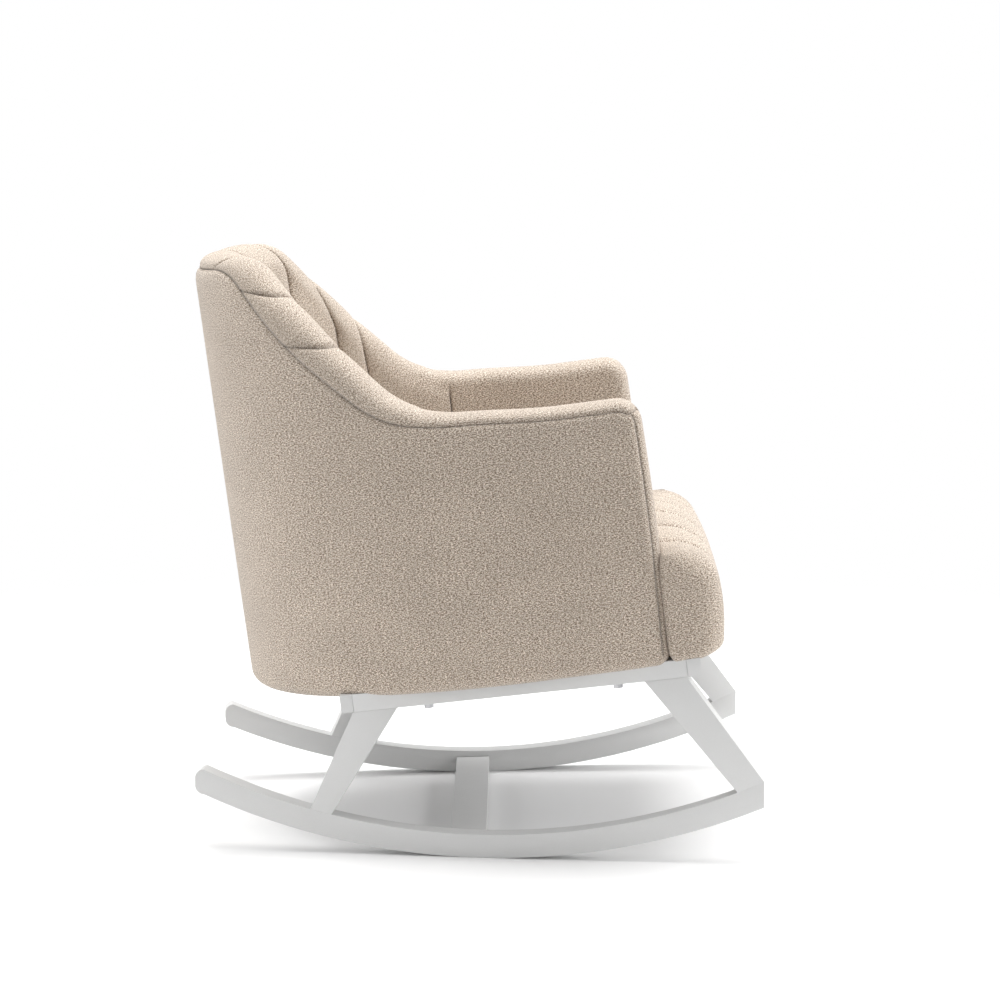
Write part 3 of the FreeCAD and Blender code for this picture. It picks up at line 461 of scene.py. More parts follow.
def build_wall(tub):
    """Both faces of the right half of the wall, as arrays of rows and columns."""
    runs = column_runs(tub)
    total = sum(plan_runs(tub))
    columns = len(runs)
    height, slope = crest_line(tub, runs)
    bend_run = runs + BEND * np.sin(slope)
    depth_seam = np.minimum(seam_depth(tub, runs), BEND)
    seam_four = arm_seam_run(tub)
    rear_sweep = np.interp(runs, [0, *FAN_TOP, seam_four, total], [0, *FAN_REAR, 0.004, 0])
    inner_sweep = np.interp(runs, [0, *FAN_TOP, seam_four, total], [0, *FAN_INNER, 0.004, 0])
    # outside: strip above the seam, strip down to the bend, then straight down and under
    strip = np.outer(edge_spread(STRIP_ROWS), depth_seam)
    below = np.array([depth_seam + (BEND - depth_seam) * t for t in (0.06, 0.16, 0.35, 0.65, 1.0)])
    depth, drop = rows_down(np.vstack([strip, below]), 61)
    foot_out = (bend_run, np.full(columns, tub.under - tub.skirt))
    outer_run = runs - rear_sweep * np.clip(depth / depth_seam, 0, 1)
    outer, outer_uv = surface(tub, 1, outer_run, depth, drop, foot_out)
    # inside: over the edge to the bend, then down along the fan
    inner_depth, inner_drop = rows_down(np.outer(edge_spread(16), np.full(columns, BEND)), 55)
    fan = np.interp(runs, [0, *FAN_TOP, seam_four, total], [0, *FAN_FOOT, seam_four - 0.006, total])
    foot_z = np.where(runs > seam_four - 0.02, 0.008, 0.098)
    inner_run = runs + inner_sweep * np.clip(inner_depth / BEND, 0, 1)
    inner, inner_uv = surface(tub, -1, inner_run, inner_depth, inner_drop, (fan, foot_z))
    crest = np.concatenate([[0], np.cumsum(np.hypot(np.diff(runs), np.diff(height)))])
    for points, cloth in ((outer, outer_uv), (inner, inner_uv)):
        level = points[-12]
        wrap = np.concatenate([[0], np.cumsum(np.linalg.norm(np.diff(level[:, :2], axis=0), axis=1))])
        start = int(np.argmax(runs > total - FRONT_ZONE - 0.002))
        cloth[:, start:, 0] += np.maximum((wrap - wrap[start]) - (runs - runs[start]), 0)[start:]
    pad_uv = outer_uv.copy()
    pad_uv[..., 0] += crest - runs
    pad_uv[..., 1] = -row_lengths(outer)
    inner_uv[..., 0] += (crest - runs) * (1 - inner_drop)
    inner_uv[..., 1] = row_lengths(inner)
    return {"runs": runs, "outer": outer, "outer_uv": outer_uv, "inner": inner, "inner_uv": inner_uv,
            "pad_uv": pad_uv, "depth": depth, "depth_seam": depth_seam, "drop": drop,
            "inner_depth": inner_depth}


def mirrored(points, uvs):
    """Both halves, from the -X arm's front round to the +X arm's front."""
    left = points[:, :0:-1].copy()
    left[..., 0] *= -1
    left_uv = uvs[:, :0:-1].copy()
    left_uv[..., 0] *= -1
    return np.concatenate([left, points], axis=1), np.concatenate([left_uv, uvs], axis=1)


def both_sides(values):
    return np.concatenate([values[..., :0:-1], values], axis=-1)


def under_roll(tub, outer, outer_uv):
    """Rows that carry the outside cover round its bottom edge and a little way under the tub."""
    rows, uvs = [], []
    last, before = outer[-1], outer[-6]
    outward = np.zeros_like(last)
    span = np.gradient(last[:, :2], axis=0)
    outward[:, 0] = -span[:, 1]
    outward[:, 1] = span[:, 0]
    size = np.linalg.norm(outward, axis=1, keepdims=True)
    outward /= np.where(size == 0, 1, size)
    centre = before[:, :2].mean(axis=0)
    wrong = np.einsum("ij,ij->i", outward[:, :2], last[:, :2] - centre) < 0
    outward[wrong] *= -1
    radius = tub.under
    for turn in np.radians([15, 30, 45, 60, 75, 90]):
        row = last - outward * radius * (1 - math.cos(turn))
        row[:, 2] = last[:, 2] - radius * math.sin(turn)
        rows.append(row)
        uv = outer_uv[-1].copy()
        uv[:, 1] -= radius * turn
        uvs.append(uv)
    for step in (0.004, 0.014):
        row = rows[-1] - outward * step
        row[:, 2] = 0.0006
        rows.append(row)
        uv = uvs[-1].copy()
        uv[:, 1] -= step
        uvs.append(uv)
    return np.concatenate([outer, rows]), np.concatenate([outer_uv, uvs])


def patch_piece(tub, name, patches):
    """One piece from several grids, each with its cloth coordinates, push, painted seam shade and turn."""
    faces, base = [], 0
    for points, *_, flip in patches:
        rows, columns = points.shape[:2]
        faces += [tuple(i + base for i in face) for face in grid_faces(rows, columns, flip)]
        base += rows * columns
    points = np.concatenate([patch[0].reshape(-1, 3) for patch in patches])
    cloth = np.concatenate([patch[1].reshape(-1, 2) for patch in patches])
    pushed, line = (np.concatenate([patch[i].ravel() for patch in patches]) for i in (2, 3))
    return mesh_piece(name, to_frame(tub, points), faces, cloth, {"push": pushed, "seam": line})


def tub_pieces(tub, material):
    """The outside cover, the back pad and the two arm pads."""
    wall = build_wall(tub)
    runs = wall["runs"]
    total = sum(plan_runs(tub))
    seam_four = arm_seam_run(tub)
    strip = STRIP_ROWS
    outer, outer_uv = mirrored(wall["outer"], wall["outer_uv"])
    inner, inner_uv = mirrored(wall["inner"], wall["inner_uv"])
    pad_uv = mirrored(wall["outer"], wall["pad_uv"])[1]
    along = np.concatenate([-runs[:0:-1], runs])
    columns = len(along)
    depth = both_sides(wall["depth"])
    drop = both_sides(wall["drop"])
    seam_at = both_sides(wall["depth_seam"])
    # padding between the seams of the back
    seams = np.array([-seam_four, *[-s for s in FAN_TOP[::-1]], *FAN_TOP, seam_four])
    puffs = channel_swell(along, seams, BACK_PUFF)
    nearest = np.min(np.abs(along[:, None] - seams[None, :]), axis=1)
    crease = seam_profile(nearest, *BACK_CREASE)
    # painted shade along the back's seams, carried to the fabric as the seam attribute
    line = seam_shade_line(nearest, BACK_SHADE_LINE)
    # outside cover
    outer_all, outer_all_uv = under_roll(tub, outer, outer_uv)
    rows = len(outer_all)
    front_gap = np.abs(along) - (total - tub.seam_front)
    rim = np.minimum(np.abs(depth + drop - seam_at), np.abs(front_gap)[None, :])
    swell = tub.bulge * np.sin(math.pi * np.clip(outer[..., 2] / both_sides(
        crest_line(tub, runs)[0])[None, :], 0, 1)) * smooth_step(total - np.abs(along), 0, 0.10)[None, :]
    swell = swell * smooth_step(np.abs(along), 0.30, 0.45)[None, :]
    outer_push = swell + seam_profile(rim, *OUTER_CREASE)
    # painted shade along the outer seam and the front seam
    outer_shade_line = seam_shade_line(rim, OUTER_SHADE_LINE)
    extra = rows - len(outer)
    outer_push = np.concatenate([outer_push, np.zeros((extra, columns))])
    outer_shade_line = np.concatenate([outer_shade_line, np.zeros((extra, columns))])
    is_cover = np.abs(along) <= total - tub.seam_front + 1e-6
    first = int(np.argmax(is_cover))
    last = columns - first
    cover = (slice(strip - 1, rows), slice(first, last))
    pieces = {"outside_cover": patch_piece(tub, "outside_cover_skin", [
        (outer_all[cover], outer_all_uv[cover], outer_push[cover], outer_shade_line[cover], False)])}
    # pads: the strip above the outer seam, the front strips and the inside
    strip_fade = 0.35 + 0.65 * smooth_step(np.abs(depth[:strip] - seam_at) / seam_at, 0, 0.7)
    over_arm = smooth_step(np.abs(along), seam_four - 0.04, seam_four - 0.02)[None, :]
    inner_depth = both_sides(wall["inner_depth"])
    inside = smooth_step(inner_depth, 0.016, 0.040)
    strip_push = (puffs * 0.45 + crease)[None, :] * strip_fade * (1 - over_arm) + seam_profile(
        np.abs(depth[:strip] - seam_at), *OUTER_CREASE)
    # painted shade along the back's seams and the outer seam, on the pads
    strip_shade_line = np.maximum(line[None, :] * (1 - over_arm), seam_shade_line(depth[:strip] - seam_at, OUTER_SHADE_LINE))
    inner_push = (puffs[None, :] * (0.45 + 0.55 * inside) + crease) * (1 - over_arm * (1 - inside))
    inner_shade_line = line[None, :] * (1 - over_arm * (1 - inside))
    col_four = int(np.argmin(np.abs(along - seam_four)))
    col_minus = columns - 1 - col_four
    spans = {"arm_pad_left": (0, col_minus + 1), "back_pad": (col_minus, col_four + 1),
             "arm_pad_right": (col_four, columns)}
    for name, (start, stop) in spans.items():
        above, span = (slice(0, strip), slice(start, stop)), (slice(None), slice(start, stop))
        patches = [(outer[above], pad_uv[above], strip_push[above], strip_shade_line[above], False),
                   (inner[span], inner_uv[span], inner_push[span], inner_shade_line[span], True)]
        if name != "back_pad":
            band = (slice(strip - 1, rows),
                    slice(0, first + 1) if name == "arm_pad_left" else slice(last - 1, columns))
            patches.append((outer_all[band], outer_all_uv[band], outer_push[band], outer_shade_line[band], False))
        pieces[name] = patch_piece(tub, name, patches)
    for piece in pieces.values():
        weld(piece)
        push(piece, "push")
    thicken(pieces["outside_cover"], COVER_THICKNESS)
    for name in spans:
        thicken(pieces[name], PAD_THICKNESS)
    finish_soft(pieces["outside_cover"], material, ("outside_cover",))
    finish_soft(pieces["back_pad"], material, ("back_cover", "back_foam"))
    for side in ("left", "right"):
        finish_soft(pieces["arm_pad_" + side], material, ("arm_cover_" + side, "arm_foam_" + side))


# ---------------------------------------------------------------- seat

def seat_rows(tub):
    """Lines across the seat between the arms, from front to back: (half width, y)."""
    inside = tub.half_width - tub.wall - 0.001
    rows = []
    radius, centre = back_arc(tub)
    back_inner = radius - tub.wall
    for y in np.linspace(tub.arm_front - 0.003, centre + back_inner * 0.985, 78)[1:]:
        half = inside
        if y > tub.side_start:
            flank = tub.side_radius - tub.wall
            half = tub.half_width - tub.side_radius + math.sqrt(flank ** 2 - (y - tub.side_start) ** 2)
        if y > centre + back_inner * math.sin(tub.side_angle):
            half = math.sqrt(max(back_inner ** 2 - (y - centre) ** 2, 0.0004))
        rows.append((half - 0.001, float(y)))
    return rows


def seat_piece(tub, seat, material):
    """The T-shaped seat: a channelled top, rounded edges and a boxed front."""
    # top outline of the T, as a closed line from the middle of the front round the +X side
    half, inside = tub.half_width, tub.half_width - tub.wall - 0.001
    step = tub.arm_front + 0.003
    radius = seat.corner
    outline = [(0.0, seat.front)]
    for x in np.linspace(0, half - radius, 44)[1:]:
        outline.append((x, seat.front))
    for turn in np.radians(np.linspace(0, 90, 12)[1:]):
        outline.append((half - radius + radius * math.sin(turn),
                        seat.front + radius - radius * math.cos(turn)))
    for y in np.linspace(seat.front + radius, step - 0.010, 8)[1:]:
        outline.append((half, y))
    for turn in np.radians(np.linspace(0, 90, 6)[1:]):
        outline.append((half - 0.010 + 0.010 * math.cos(turn), step - 0.010 + 0.010 * math.sin(turn)))
    for x in np.linspace(half - 0.010, inside, 9)[1:]:
        outline.append((x, step))
    outline += [row for row in seat_rows(tub) if row[1] > step + 0.002]
    end_x, end_y = outline[-1]
    for x in np.linspace(end_x, 0, 8)[1:]:
        outline.append((x, end_y))
    right = np.array(outline)
    left = right[-2:0:-1] * np.array([-1, 1])
    line = np.concatenate([right, left])
    count = len(line)
    ahead = np.roll(line, -1, axis=0) - np.roll(line, 1, axis=0)
    normal = np.stack([ahead[:, 1], -ahead[:, 0]], axis=1)
    normal /= np.linalg.norm(normal, axis=1, keepdims=True)
    steps = np.linalg.norm(np.roll(line, -1, axis=0) - line, axis=1)
    around = np.concatenate([[0], np.cumsum(steps)[:-1]])
    # sections of the side, from the bottom up: (inset, height, rounder at the front)
    top, edge, under, droop = seat.height, seat.edge, seat.under, seat.droop
    section = [(0.050, 0.0008, 0), (under + 0.0065, 0.0006, 1)]
    for turn in np.radians(np.linspace(0, 90, 9)):
        section.append((under * (1 - math.sin(turn)), under * (1 - math.cos(turn)) * 1.6 - droop, 1))
    for z in np.linspace(under * 1.6 - droop, top - edge, 16)[1:]:
        section.append((0, z, 0))
    for turn in np.radians(np.linspace(0, 90, 12)[1:]):
        section.append((edge * (1 - math.cos(turn)), top - edge + edge * math.sin(turn), 2))
    ahead_share = np.clip(-normal[:, 1], 0, 1)
    free = smooth_step(-line[:, 1], -step + 0.008, -step + 0.060)
    low_reach = 1 + 1.7 * ahead_share
    top_reach = 0.22 + (0.78 + 0.3 * ahead_share) * free
    rings, ring_uv = [], []
    climb = 0.0
    previous = section[0]
    for inset, z, kind in section:
        climb += math.hypot(inset - previous[0], z - previous[1])
        previous = (inset, z)
        reach = (np.ones(count), low_reach, top_reach)[kind]
        spread = line - normal * (inset * reach)[:, None]
        rings.append(np.column_stack([spread, np.full(count, z)]))
        ring_uv.append(np.column_stack([around, np.full(count, climb)]))
    bm = bmesh.new()
    layer = bm.loops.layers.uv.new("cloth")
    verts = [[bm.verts.new(p) for p in ring] for ring in rings]
    for r in range(len(rings) - 1):
        for c in range(count):
            d = (c + 1) % count
            face = bm.faces.new((verts[r][c], verts[r][d], verts[r + 1][d], verts[r + 1][c]))
            for loop, (rr, cc) in zip(face.loops, ((r, c), (r, d), (r + 1, d), (r + 1, c))):
                closing = cc == 0 and c > 0
                loop[layer].uv = (around[-1] + steps[-1], ring_uv[rr][0][1]) if closing else ring_uv[rr][cc]
    bm.faces.new(verts[-1])
    bmesh.ops.triangulate(bm, faces=[bm.faces.new(verts[0][::-1])])
    # cut the top into a grid, so that it can be crowned and channelled
    back = line[:, 1].max()
    for plane, spots in ((Vector((1, 0, 0)), top_columns(half)),
                         (Vector((0, 1, 0)), np.arange(seat.front + 0.03, back, 0.012))):
        for spot in spots:
            geometry = [f for f in bm.faces if all(abs(v.co.z - top) < 1e-6 for v in f.verts)]
            geometry += (list({e for f in geometry for e in f.edges})
                         + list({v for f in geometry for v in f.verts}))
            bmesh.ops.bisect_plane(bm, geom=geometry, dist=0.0004, plane_co=plane * float(spot),
                                   plane_no=plane)
    for face in bm.faces:
        if all(abs(v.co.z - top) < 1e-6 for v in face.verts):
            for loop in face.loops:
                loop[layer].uv = (loop.vert.co.x, loop.vert.co.y)
    mesh = bpy.data.meshes.new("seat_pad")
    bm.normal_update()
    bm.to_mesh(mesh)
    bm.free()
    piece = add_object("seat_pad", mesh)
    shape_seat(tub, seat, piece, back)
    finish_soft(piece, material, ("seat_cover", "seat_foam"))


def top_columns(half):
    spots = []
    for seam in SEAT_SEAMS:
        for offset in (-0.0060, -0.0032, -0.0014, 0, 0.0014, 0.0032, 0.0060):
            spots += [seam + offset, -seam - offset]
    edges = [-half, *[-s for s in SEAT_SEAMS[::-1]], *SEAT_SEAMS, half]
    for low, high in zip(edges[:-1], edges[1:]):
        spots += list(np.linspace(low + 0.012, high - 0.012, max(2, round((high - low - 0.024) / 0.011))))
    return sorted(spots)


def shape_seat(tub, seat, piece, back):
    """Crowns the top, sinks the channels' seams, paints shade along them and swells the front."""
    mesh = piece.data
    count = len(mesh.vertices)
    flat = np.zeros(count * 3, np.float32)
    mesh.vertices.foreach_get("co", flat)
    p = flat.reshape(-1, 3).astype(float)
    x, y, z = p.T
    lift = smooth_step(z, seat.height * 0.45, seat.height)
    across = 1 - (np.abs(x) / (tub.half_width + 0.002)) ** 1.5
    lengthwise = (1 - 0.22 * smooth_step(y, -0.05, back)
                  - 0.6 * smooth_step(-y, -seat.front - 0.08, -seat.front))
    crown = seat.crown * np.clip(across, 0, 1) * lengthwise * lift
    seams = np.array([-0.34, *[-s for s in SEAT_SEAMS[::-1]], *SEAT_SEAMS, 0.34])
    nearest = np.min(np.abs(x[:, None] - seams[None, 1:-1]), axis=1)
    swell = channel_swell(x, seams, SEAT_PUFF)
    top = smooth_step(z, seat.height - seat.edge * 0.9, seat.height - 0.002)
    sunk = seam_profile(nearest, *SEAT_CREASE)
    z_new = z + crown + (swell + sunk) * top
    front = smooth_step(-y, -seat.front - seat.corner * 1.4, -seat.front)
    middle = np.sin(math.pi * np.clip((z + 0.004) / (seat.height * 1.06), 0, 1))
    y_new = y - 0.011 * middle * front * (1 - 0.3 * (x / tub.half_width) ** 2)
    # painted shade along the channels' seams
    line = seam_shade_line(nearest, SEAT_SHADE_LINE) * top
    out = to_frame(tub, np.column_stack([x, y_new, z_new]))
    mesh.vertices.foreach_set("co", out.astype(np.float32).ravel())
    attribute = mesh.attributes.new("seam", "FLOAT", "POINT")
    attribute.data.foreach_set("value", line.astype(np.float32))
    mesh.update()


# ---------------------------------------------------------------- timber

def soften(name, width, material):
    """A painted copy of a CAD timber with eased edges."""
    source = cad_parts[name]
    deselect()
    piece = source.copy()
    piece.data = source.data.copy()
    piece.name = name + "_painted"
    piece.parent = None
    for key in list(piece.keys()):
        del piece[key]
    bpy.context.scene.collection.objects.link(piece)
    activate(piece)
    bpy.ops.object.mode_set(mode="EDIT")
    bpy.ops.mesh.select_all(action="SELECT")
    bpy.ops.mesh.remove_doubles(threshold=0.00002)
    bpy.ops.mesh.dissolve_limited(angle_limit=math.radians(0.4))
    bpy.ops.object.mode_set(mode="OBJECT")
    modifier = piece.modifiers.new("edges", "BEVEL")
    modifier.width = width
    modifier.segments = 3
    modifier.limit_method = "ANGLE"
    modifier.angle_limit = math.radians(35)
    modifier.harden_normals = False
    bpy.ops.object.modifier_apply(modifier=modifier.name)
    bpy.ops.object.shade_smooth_by_angle(angle=math.radians(40))
    piece.data.materials.clear()
    piece.data.materials.append(material)
    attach(piece, "root")
    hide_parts(name)


# ---------------------------------------------------------------- materials

def new_material(name):
    material = bpy.data.materials.new(name)
    material.use_nodes = True
    nodes = material.node_tree.nodes
    nodes.clear()
    shader = nodes.new("ShaderNodeBsdfPrincipled")
    output = nodes.new("ShaderNodeOutputMaterial")
    material.node_tree.links.new(shader.outputs["BSDF"], output.inputs["Surface"])
    return material, shader


def set_plain(node, **values):
    """Plain numbers on a node's sockets; an underscore stands for a space."""
    for key, value in values.items():
        node.inputs[key.replace("_", " ")].default_value = value


def new_group(name, inputs, outputs):
    group = bpy.data.node_groups.new(name, "ShaderNodeTree")
    for label, kind, default in inputs:
        socket = group.interface.new_socket(name=label, in_out="INPUT", socket_type=kind)
        if default is not None:
            socket.default_value = default
    for label, kind in outputs:
        group.interface.new_socket(name=label, in_out="OUTPUT", socket_type=kind)
    return group, group.nodes.new("NodeGroupInput"), group.nodes.new("NodeGroupOutput")


class Net:
    """Short ways to add linked shader nodes to a tree."""

    def __init__(self, tree):
        self.tree = tree

    def feed(self, socket, value):
        if isinstance(value, bpy.types.NodeSocket):
            self.tree.links.new(value, socket)
        elif value is not None:
            socket.default_value = value

    def maths(self, operation, a, b=None):
        node = self.tree.nodes.new("ShaderNodeMath")
        node.operation = operation
        self.feed(node.inputs[0], a)
        self.feed(node.inputs[1], b)
        return node.outputs[0]

    def stretch(self, vector, scale):
        node = self.tree.nodes.new("ShaderNodeMapping")
        self.feed(node.inputs["Vector"], vector)
        node.inputs["Scale"].default_value = scale
        return node.outputs[0]

    def noise(self, vector, scale, detail=2.0, roughness=0.5):
        node = self.tree.nodes.new("ShaderNodeTexNoise")
        self.feed(node.inputs["Vector"], vector)
        set_plain(node, Scale=scale, Detail=detail, Roughness=roughness)
        return node.outputs["Fac"]

    def remap(self, value, low, high, out_low=0.0, out_high=1.0):
        node = self.tree.nodes.new("ShaderNodeMapRange")
        self.feed(node.inputs["Value"], value)
        set_plain(node, From_Min=low, From_Max=high, To_Min=out_low, To_Max=out_high)
        return node.outputs["Result"]

    def mix(self, share, a, b, mode="MIX"):
        node = self.tree.nodes.new("ShaderNodeMix")
        node.data_type = "RGBA"
        node.blend_type = mode
        self.feed(node.inputs["Factor"], share)
        self.feed(node.inputs["A"], a)
        self.feed(node.inputs["B"], b)
        return node.outputs["Result"]


def rgba(values):
    return (*values, 1.0)


def weave_group():
    """Heathered plain weave on cloth coordinates in metres: yarn colour, darkened by painted shade along the
    seams, and relief.
    """
    group, given, made = new_group("heathered_weave", [
        ("Cloth", "NodeSocketVector", None),
        ("Yarn", "NodeSocketColor", None),
        ("Dark Yarn", "NodeSocketColor", None),
        ("Light Yarn", "NodeSocketColor", None),
        ("Seam", "NodeSocketFloat", 0.0),
    ], [("Color", "NodeSocketColor"), ("Height", "NodeSocketFloat")])
    net = Net(group)
    cloth = given.outputs["Cloth"]
    weft = net.noise(net.stretch(cloth, (300, 940, 1)), 1.0, 2.0, 0.6)
    warp = net.noise(net.stretch(cloth, (780, 520, 1)), 1.0, 1.5, 0.6)
    slub = net.noise(net.stretch(cloth, (60, 300, 1)), 1.0, 1.0, 0.5)
    patch = net.noise(net.stretch(cloth, (9, 14, 1)), 1.0, 2.0, 0.5)
    split = group.nodes.new("ShaderNodeSeparateXYZ")
    group.links.new(cloth, split.inputs[0])
    across = net.maths("SINE", net.maths("MULTIPLY", split.outputs[0], 2 * math.pi / WARP_PITCH))
    along = net.maths("SINE", net.maths("MULTIPLY", split.outputs[1], 2 * math.pi / WEFT_PITCH))
    over = net.maths("GREATER_THAN", net.maths("MULTIPLY", across, along), 0.0)
    yarn = net.mix(net.remap(over, 0, 1, 0.12, 0.70), weft, warp)
    dark = net.remap(yarn, 0.50, 0.44)
    light = net.remap(yarn, 0.505, 0.565)
    colour_one = net.mix(net.maths("MULTIPLY", dark, 0.95), given.outputs["Yarn"], given.outputs["Dark Yarn"])
    colour_two = net.mix(net.maths("MULTIPLY", light, 0.85), colour_one, given.outputs["Light Yarn"])
    tint = net.remap(net.maths("ADD", net.maths("MULTIPLY", slub, 0.5), net.maths("MULTIPLY", patch, 0.5)),
                     0.3, 0.7, 0.90, 1.10)
    toned = net.mix(1.0, colour_two, tint, "MULTIPLY")
    # painted shade: the seam shade darkens the colour down to 0.62 along the seams
    shade = net.remap(given.outputs["Seam"], 0.0, 1.0, 1.0, 0.62)
    net.feed(made.inputs["Color"], net.mix(1.0, toned, shade, "MULTIPLY"))
    relief = net.maths("ADD", net.maths("MULTIPLY", net.maths("ABSOLUTE", across), 0.5),
                       net.maths("MULTIPLY", net.maths("ABSOLUTE", along), 0.5))
    net.feed(made.inputs["Height"], net.maths("ADD", relief, net.maths("MULTIPLY", yarn, 1.4)))
    return group


def grain_group():
    """Straight timber grain along one axis of the object's own coordinates."""
    group, given, made = new_group("straight_grain", [
        ("Position", "NodeSocketVector", None),
        ("Light Wood", "NodeSocketColor", None),
        ("Dark Wood", "NodeSocketColor", None),
    ], [("Color", "NodeSocketColor"), ("Height", "NodeSocketFloat")])
    net = Net(group)
    place = given.outputs["Position"]
    lines = net.noise(net.stretch(place, (160, 7, 160)), 1.0, 3.0, 0.6)
    pores = net.noise(net.stretch(place, (900, 40, 900)), 1.0, 1.0, 0.5)
    share = net.remap(lines, 0.35, 0.65)
    net.feed(made.inputs["Color"], net.mix(share, given.outputs["Light Wood"], given.outputs["Dark Wood"]))
    net.feed(made.inputs["Height"], net.maths("ADD", lines, net.maths("MULTIPLY", pores, 0.4)))
    return group


def speckle_group():
    """Fine uneven colour and relief for paint, steel, felt and board."""
    group, given, made = new_group("fine_speckle", [
        ("Position", "NodeSocketVector", None),
        ("Color One", "NodeSocketColor", None),
        ("Color Two", "NodeSocketColor", None),
        ("Fine", "NodeSocketFloat", 800.0),
        ("Coarse", "NodeSocketFloat", 30.0),
    ], [("Color", "NodeSocketColor"), ("Height", "NodeSocketFloat"), ("Mask", "NodeSocketFloat")])
    net = Net(group)
    fine = net.noise(given.outputs["Position"], 1.0, 2.0, 0.6)
    net.feed(fine.node.inputs["Scale"], given.outputs["Fine"])
    coarse = net.noise(given.outputs["Position"], 1.0, 3.0, 0.5)
    net.feed(coarse.node.inputs["Scale"], given.outputs["Coarse"])
    both = net.maths("ADD", net.maths("MULTIPLY", fine, 0.5), net.maths("MULTIPLY", coarse, 0.5))
    share = net.remap(both, 0.35, 0.65)
    net.feed(made.inputs["Color"], net.mix(share, given.outputs["Color One"], given.outputs["Color Two"]))
    net.feed(made.inputs["Height"], fine)
    net.feed(made.inputs["Mask"], share)
    return group


def place_group(material, group, values):
    node = material.node_tree.nodes.new("ShaderNodeGroup")
    node.node_tree = group
    net = Net(material.node_tree)
    for key, value in values.items():
        net.feed(node.inputs[key], value)
    return node


def relief(material, shader, height, distance, strength):
    bump = material.node_tree.nodes.new("ShaderNodeBump")
    set_plain(bump, Distance=distance, Strength=strength)
    material.node_tree.links.new(height, bump.inputs["Height"])
    material.node_tree.links.new(bump.outputs["Normal"], shader.inputs["Normal"])


def fabric_material(finish, groups):
    material, shader = new_material("oatmeal_fabric")
    tree = material.node_tree
    cloth = tree.nodes.new("ShaderNodeUVMap")
    cloth.uv_map = "cloth"
    # the seam attribute holds the painted shade along the seams
    seam = tree.nodes.new("ShaderNodeAttribute")
    seam.attribute_name = "seam"
    weave = place_group(material, groups["weave"], {
        "Cloth": cloth.outputs["UV"], "Yarn": rgba(finish.fabric), "Dark Yarn": rgba(finish.fabric_dark),
        "Light Yarn": rgba(finish.fabric_light), "Seam": seam.outputs["Fac"]})
    tree.links.new(weave.outputs["Color"], shader.inputs["Base Color"])
    relief(material, shader, weave.outputs["Height"], 0.0006, 0.55)
    set_plain(shader, Roughness=0.92, Specular_IOR_Level=0.25, Sheen_Weight=0.25, Sheen_Roughness=0.5)
    return material


def speckled_material(name, groups, first, second, roughness, metallic=0.0, fine=800.0, coarse=30.0,
                      bump=0.0001, strength=0.3):
    material, shader = new_material(name)
    place = material.node_tree.nodes.new("ShaderNodeTexCoord")
    speckle = place_group(material, groups["speckle"], {
        "Position": place.outputs["Object"], "Color One": rgba(first), "Color Two": rgba(second),
        "Fine": fine, "Coarse": coarse})
    net = Net(material.node_tree)
    net.feed(shader.inputs["Base Color"], speckle.outputs["Color"])
    net.feed(shader.inputs["Roughness"], net.remap(speckle.outputs["Mask"], 0, 1, roughness - 0.05,
                                                   roughness + 0.05))
    set_plain(shader, Metallic=metallic)
    relief(material, shader, speckle.outputs["Height"], bump, strength)
    return material


def wood_material(name, groups, light, dark, roughness):
    material, shader = new_material(name)
    place = material.node_tree.nodes.new("ShaderNodeTexCoord")
    grain = place_group(material, groups["grain"], {
        "Position": place.outputs["Object"], "Light Wood": rgba(light), "Dark Wood": rgba(dark)})
    net = Net(material.node_tree)
    net.feed(shader.inputs["Base Color"], grain.outputs["Color"])
    shader.inputs["Roughness"].default_value = roughness
    relief(material, shader, grain.outputs["Height"], 0.0002, 0.4)
    return material


def paint_node(names, material):
    for name in names:
        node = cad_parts[name]
        node.data.materials.clear()
        node.data.materials.append(material)


def shared_groups():
    names = {"weave": ("heathered_weave", weave_group), "grain": ("straight_grain", grain_group),
             "speckle": ("fine_speckle", speckle_group)}
    return {key: bpy.data.node_groups.get(name) or build() for key, (name, build) in names.items()}


def fabric_of(context):
    made = bpy.data.materials.get("oatmeal_fabric")
    return made or fabric_material(context.scene.chair_finish, shared_groups())


# ---------------------------------------------------------------- operators

class CHAIR_OT_timber(bpy.types.Operator):
    """Make the painted base: runners, legs, rails and stretcher"""
    bl_idname = "chair.timber"
    bl_label = "Painted base"

    def execute(self, context):
        paint = context.scene.chair_finish.paint
        groups = shared_groups()
        material = speckled_material("white_paint", groups, tuple(paint), tuple(0.975 * c for c in paint),
                                     0.42, fine=420.0, coarse=14.0, bump=0.00006, strength=0.25)
        for name in PAINTED:
            soften(name, EASED_EDGE, material)
        return {"FINISHED"}


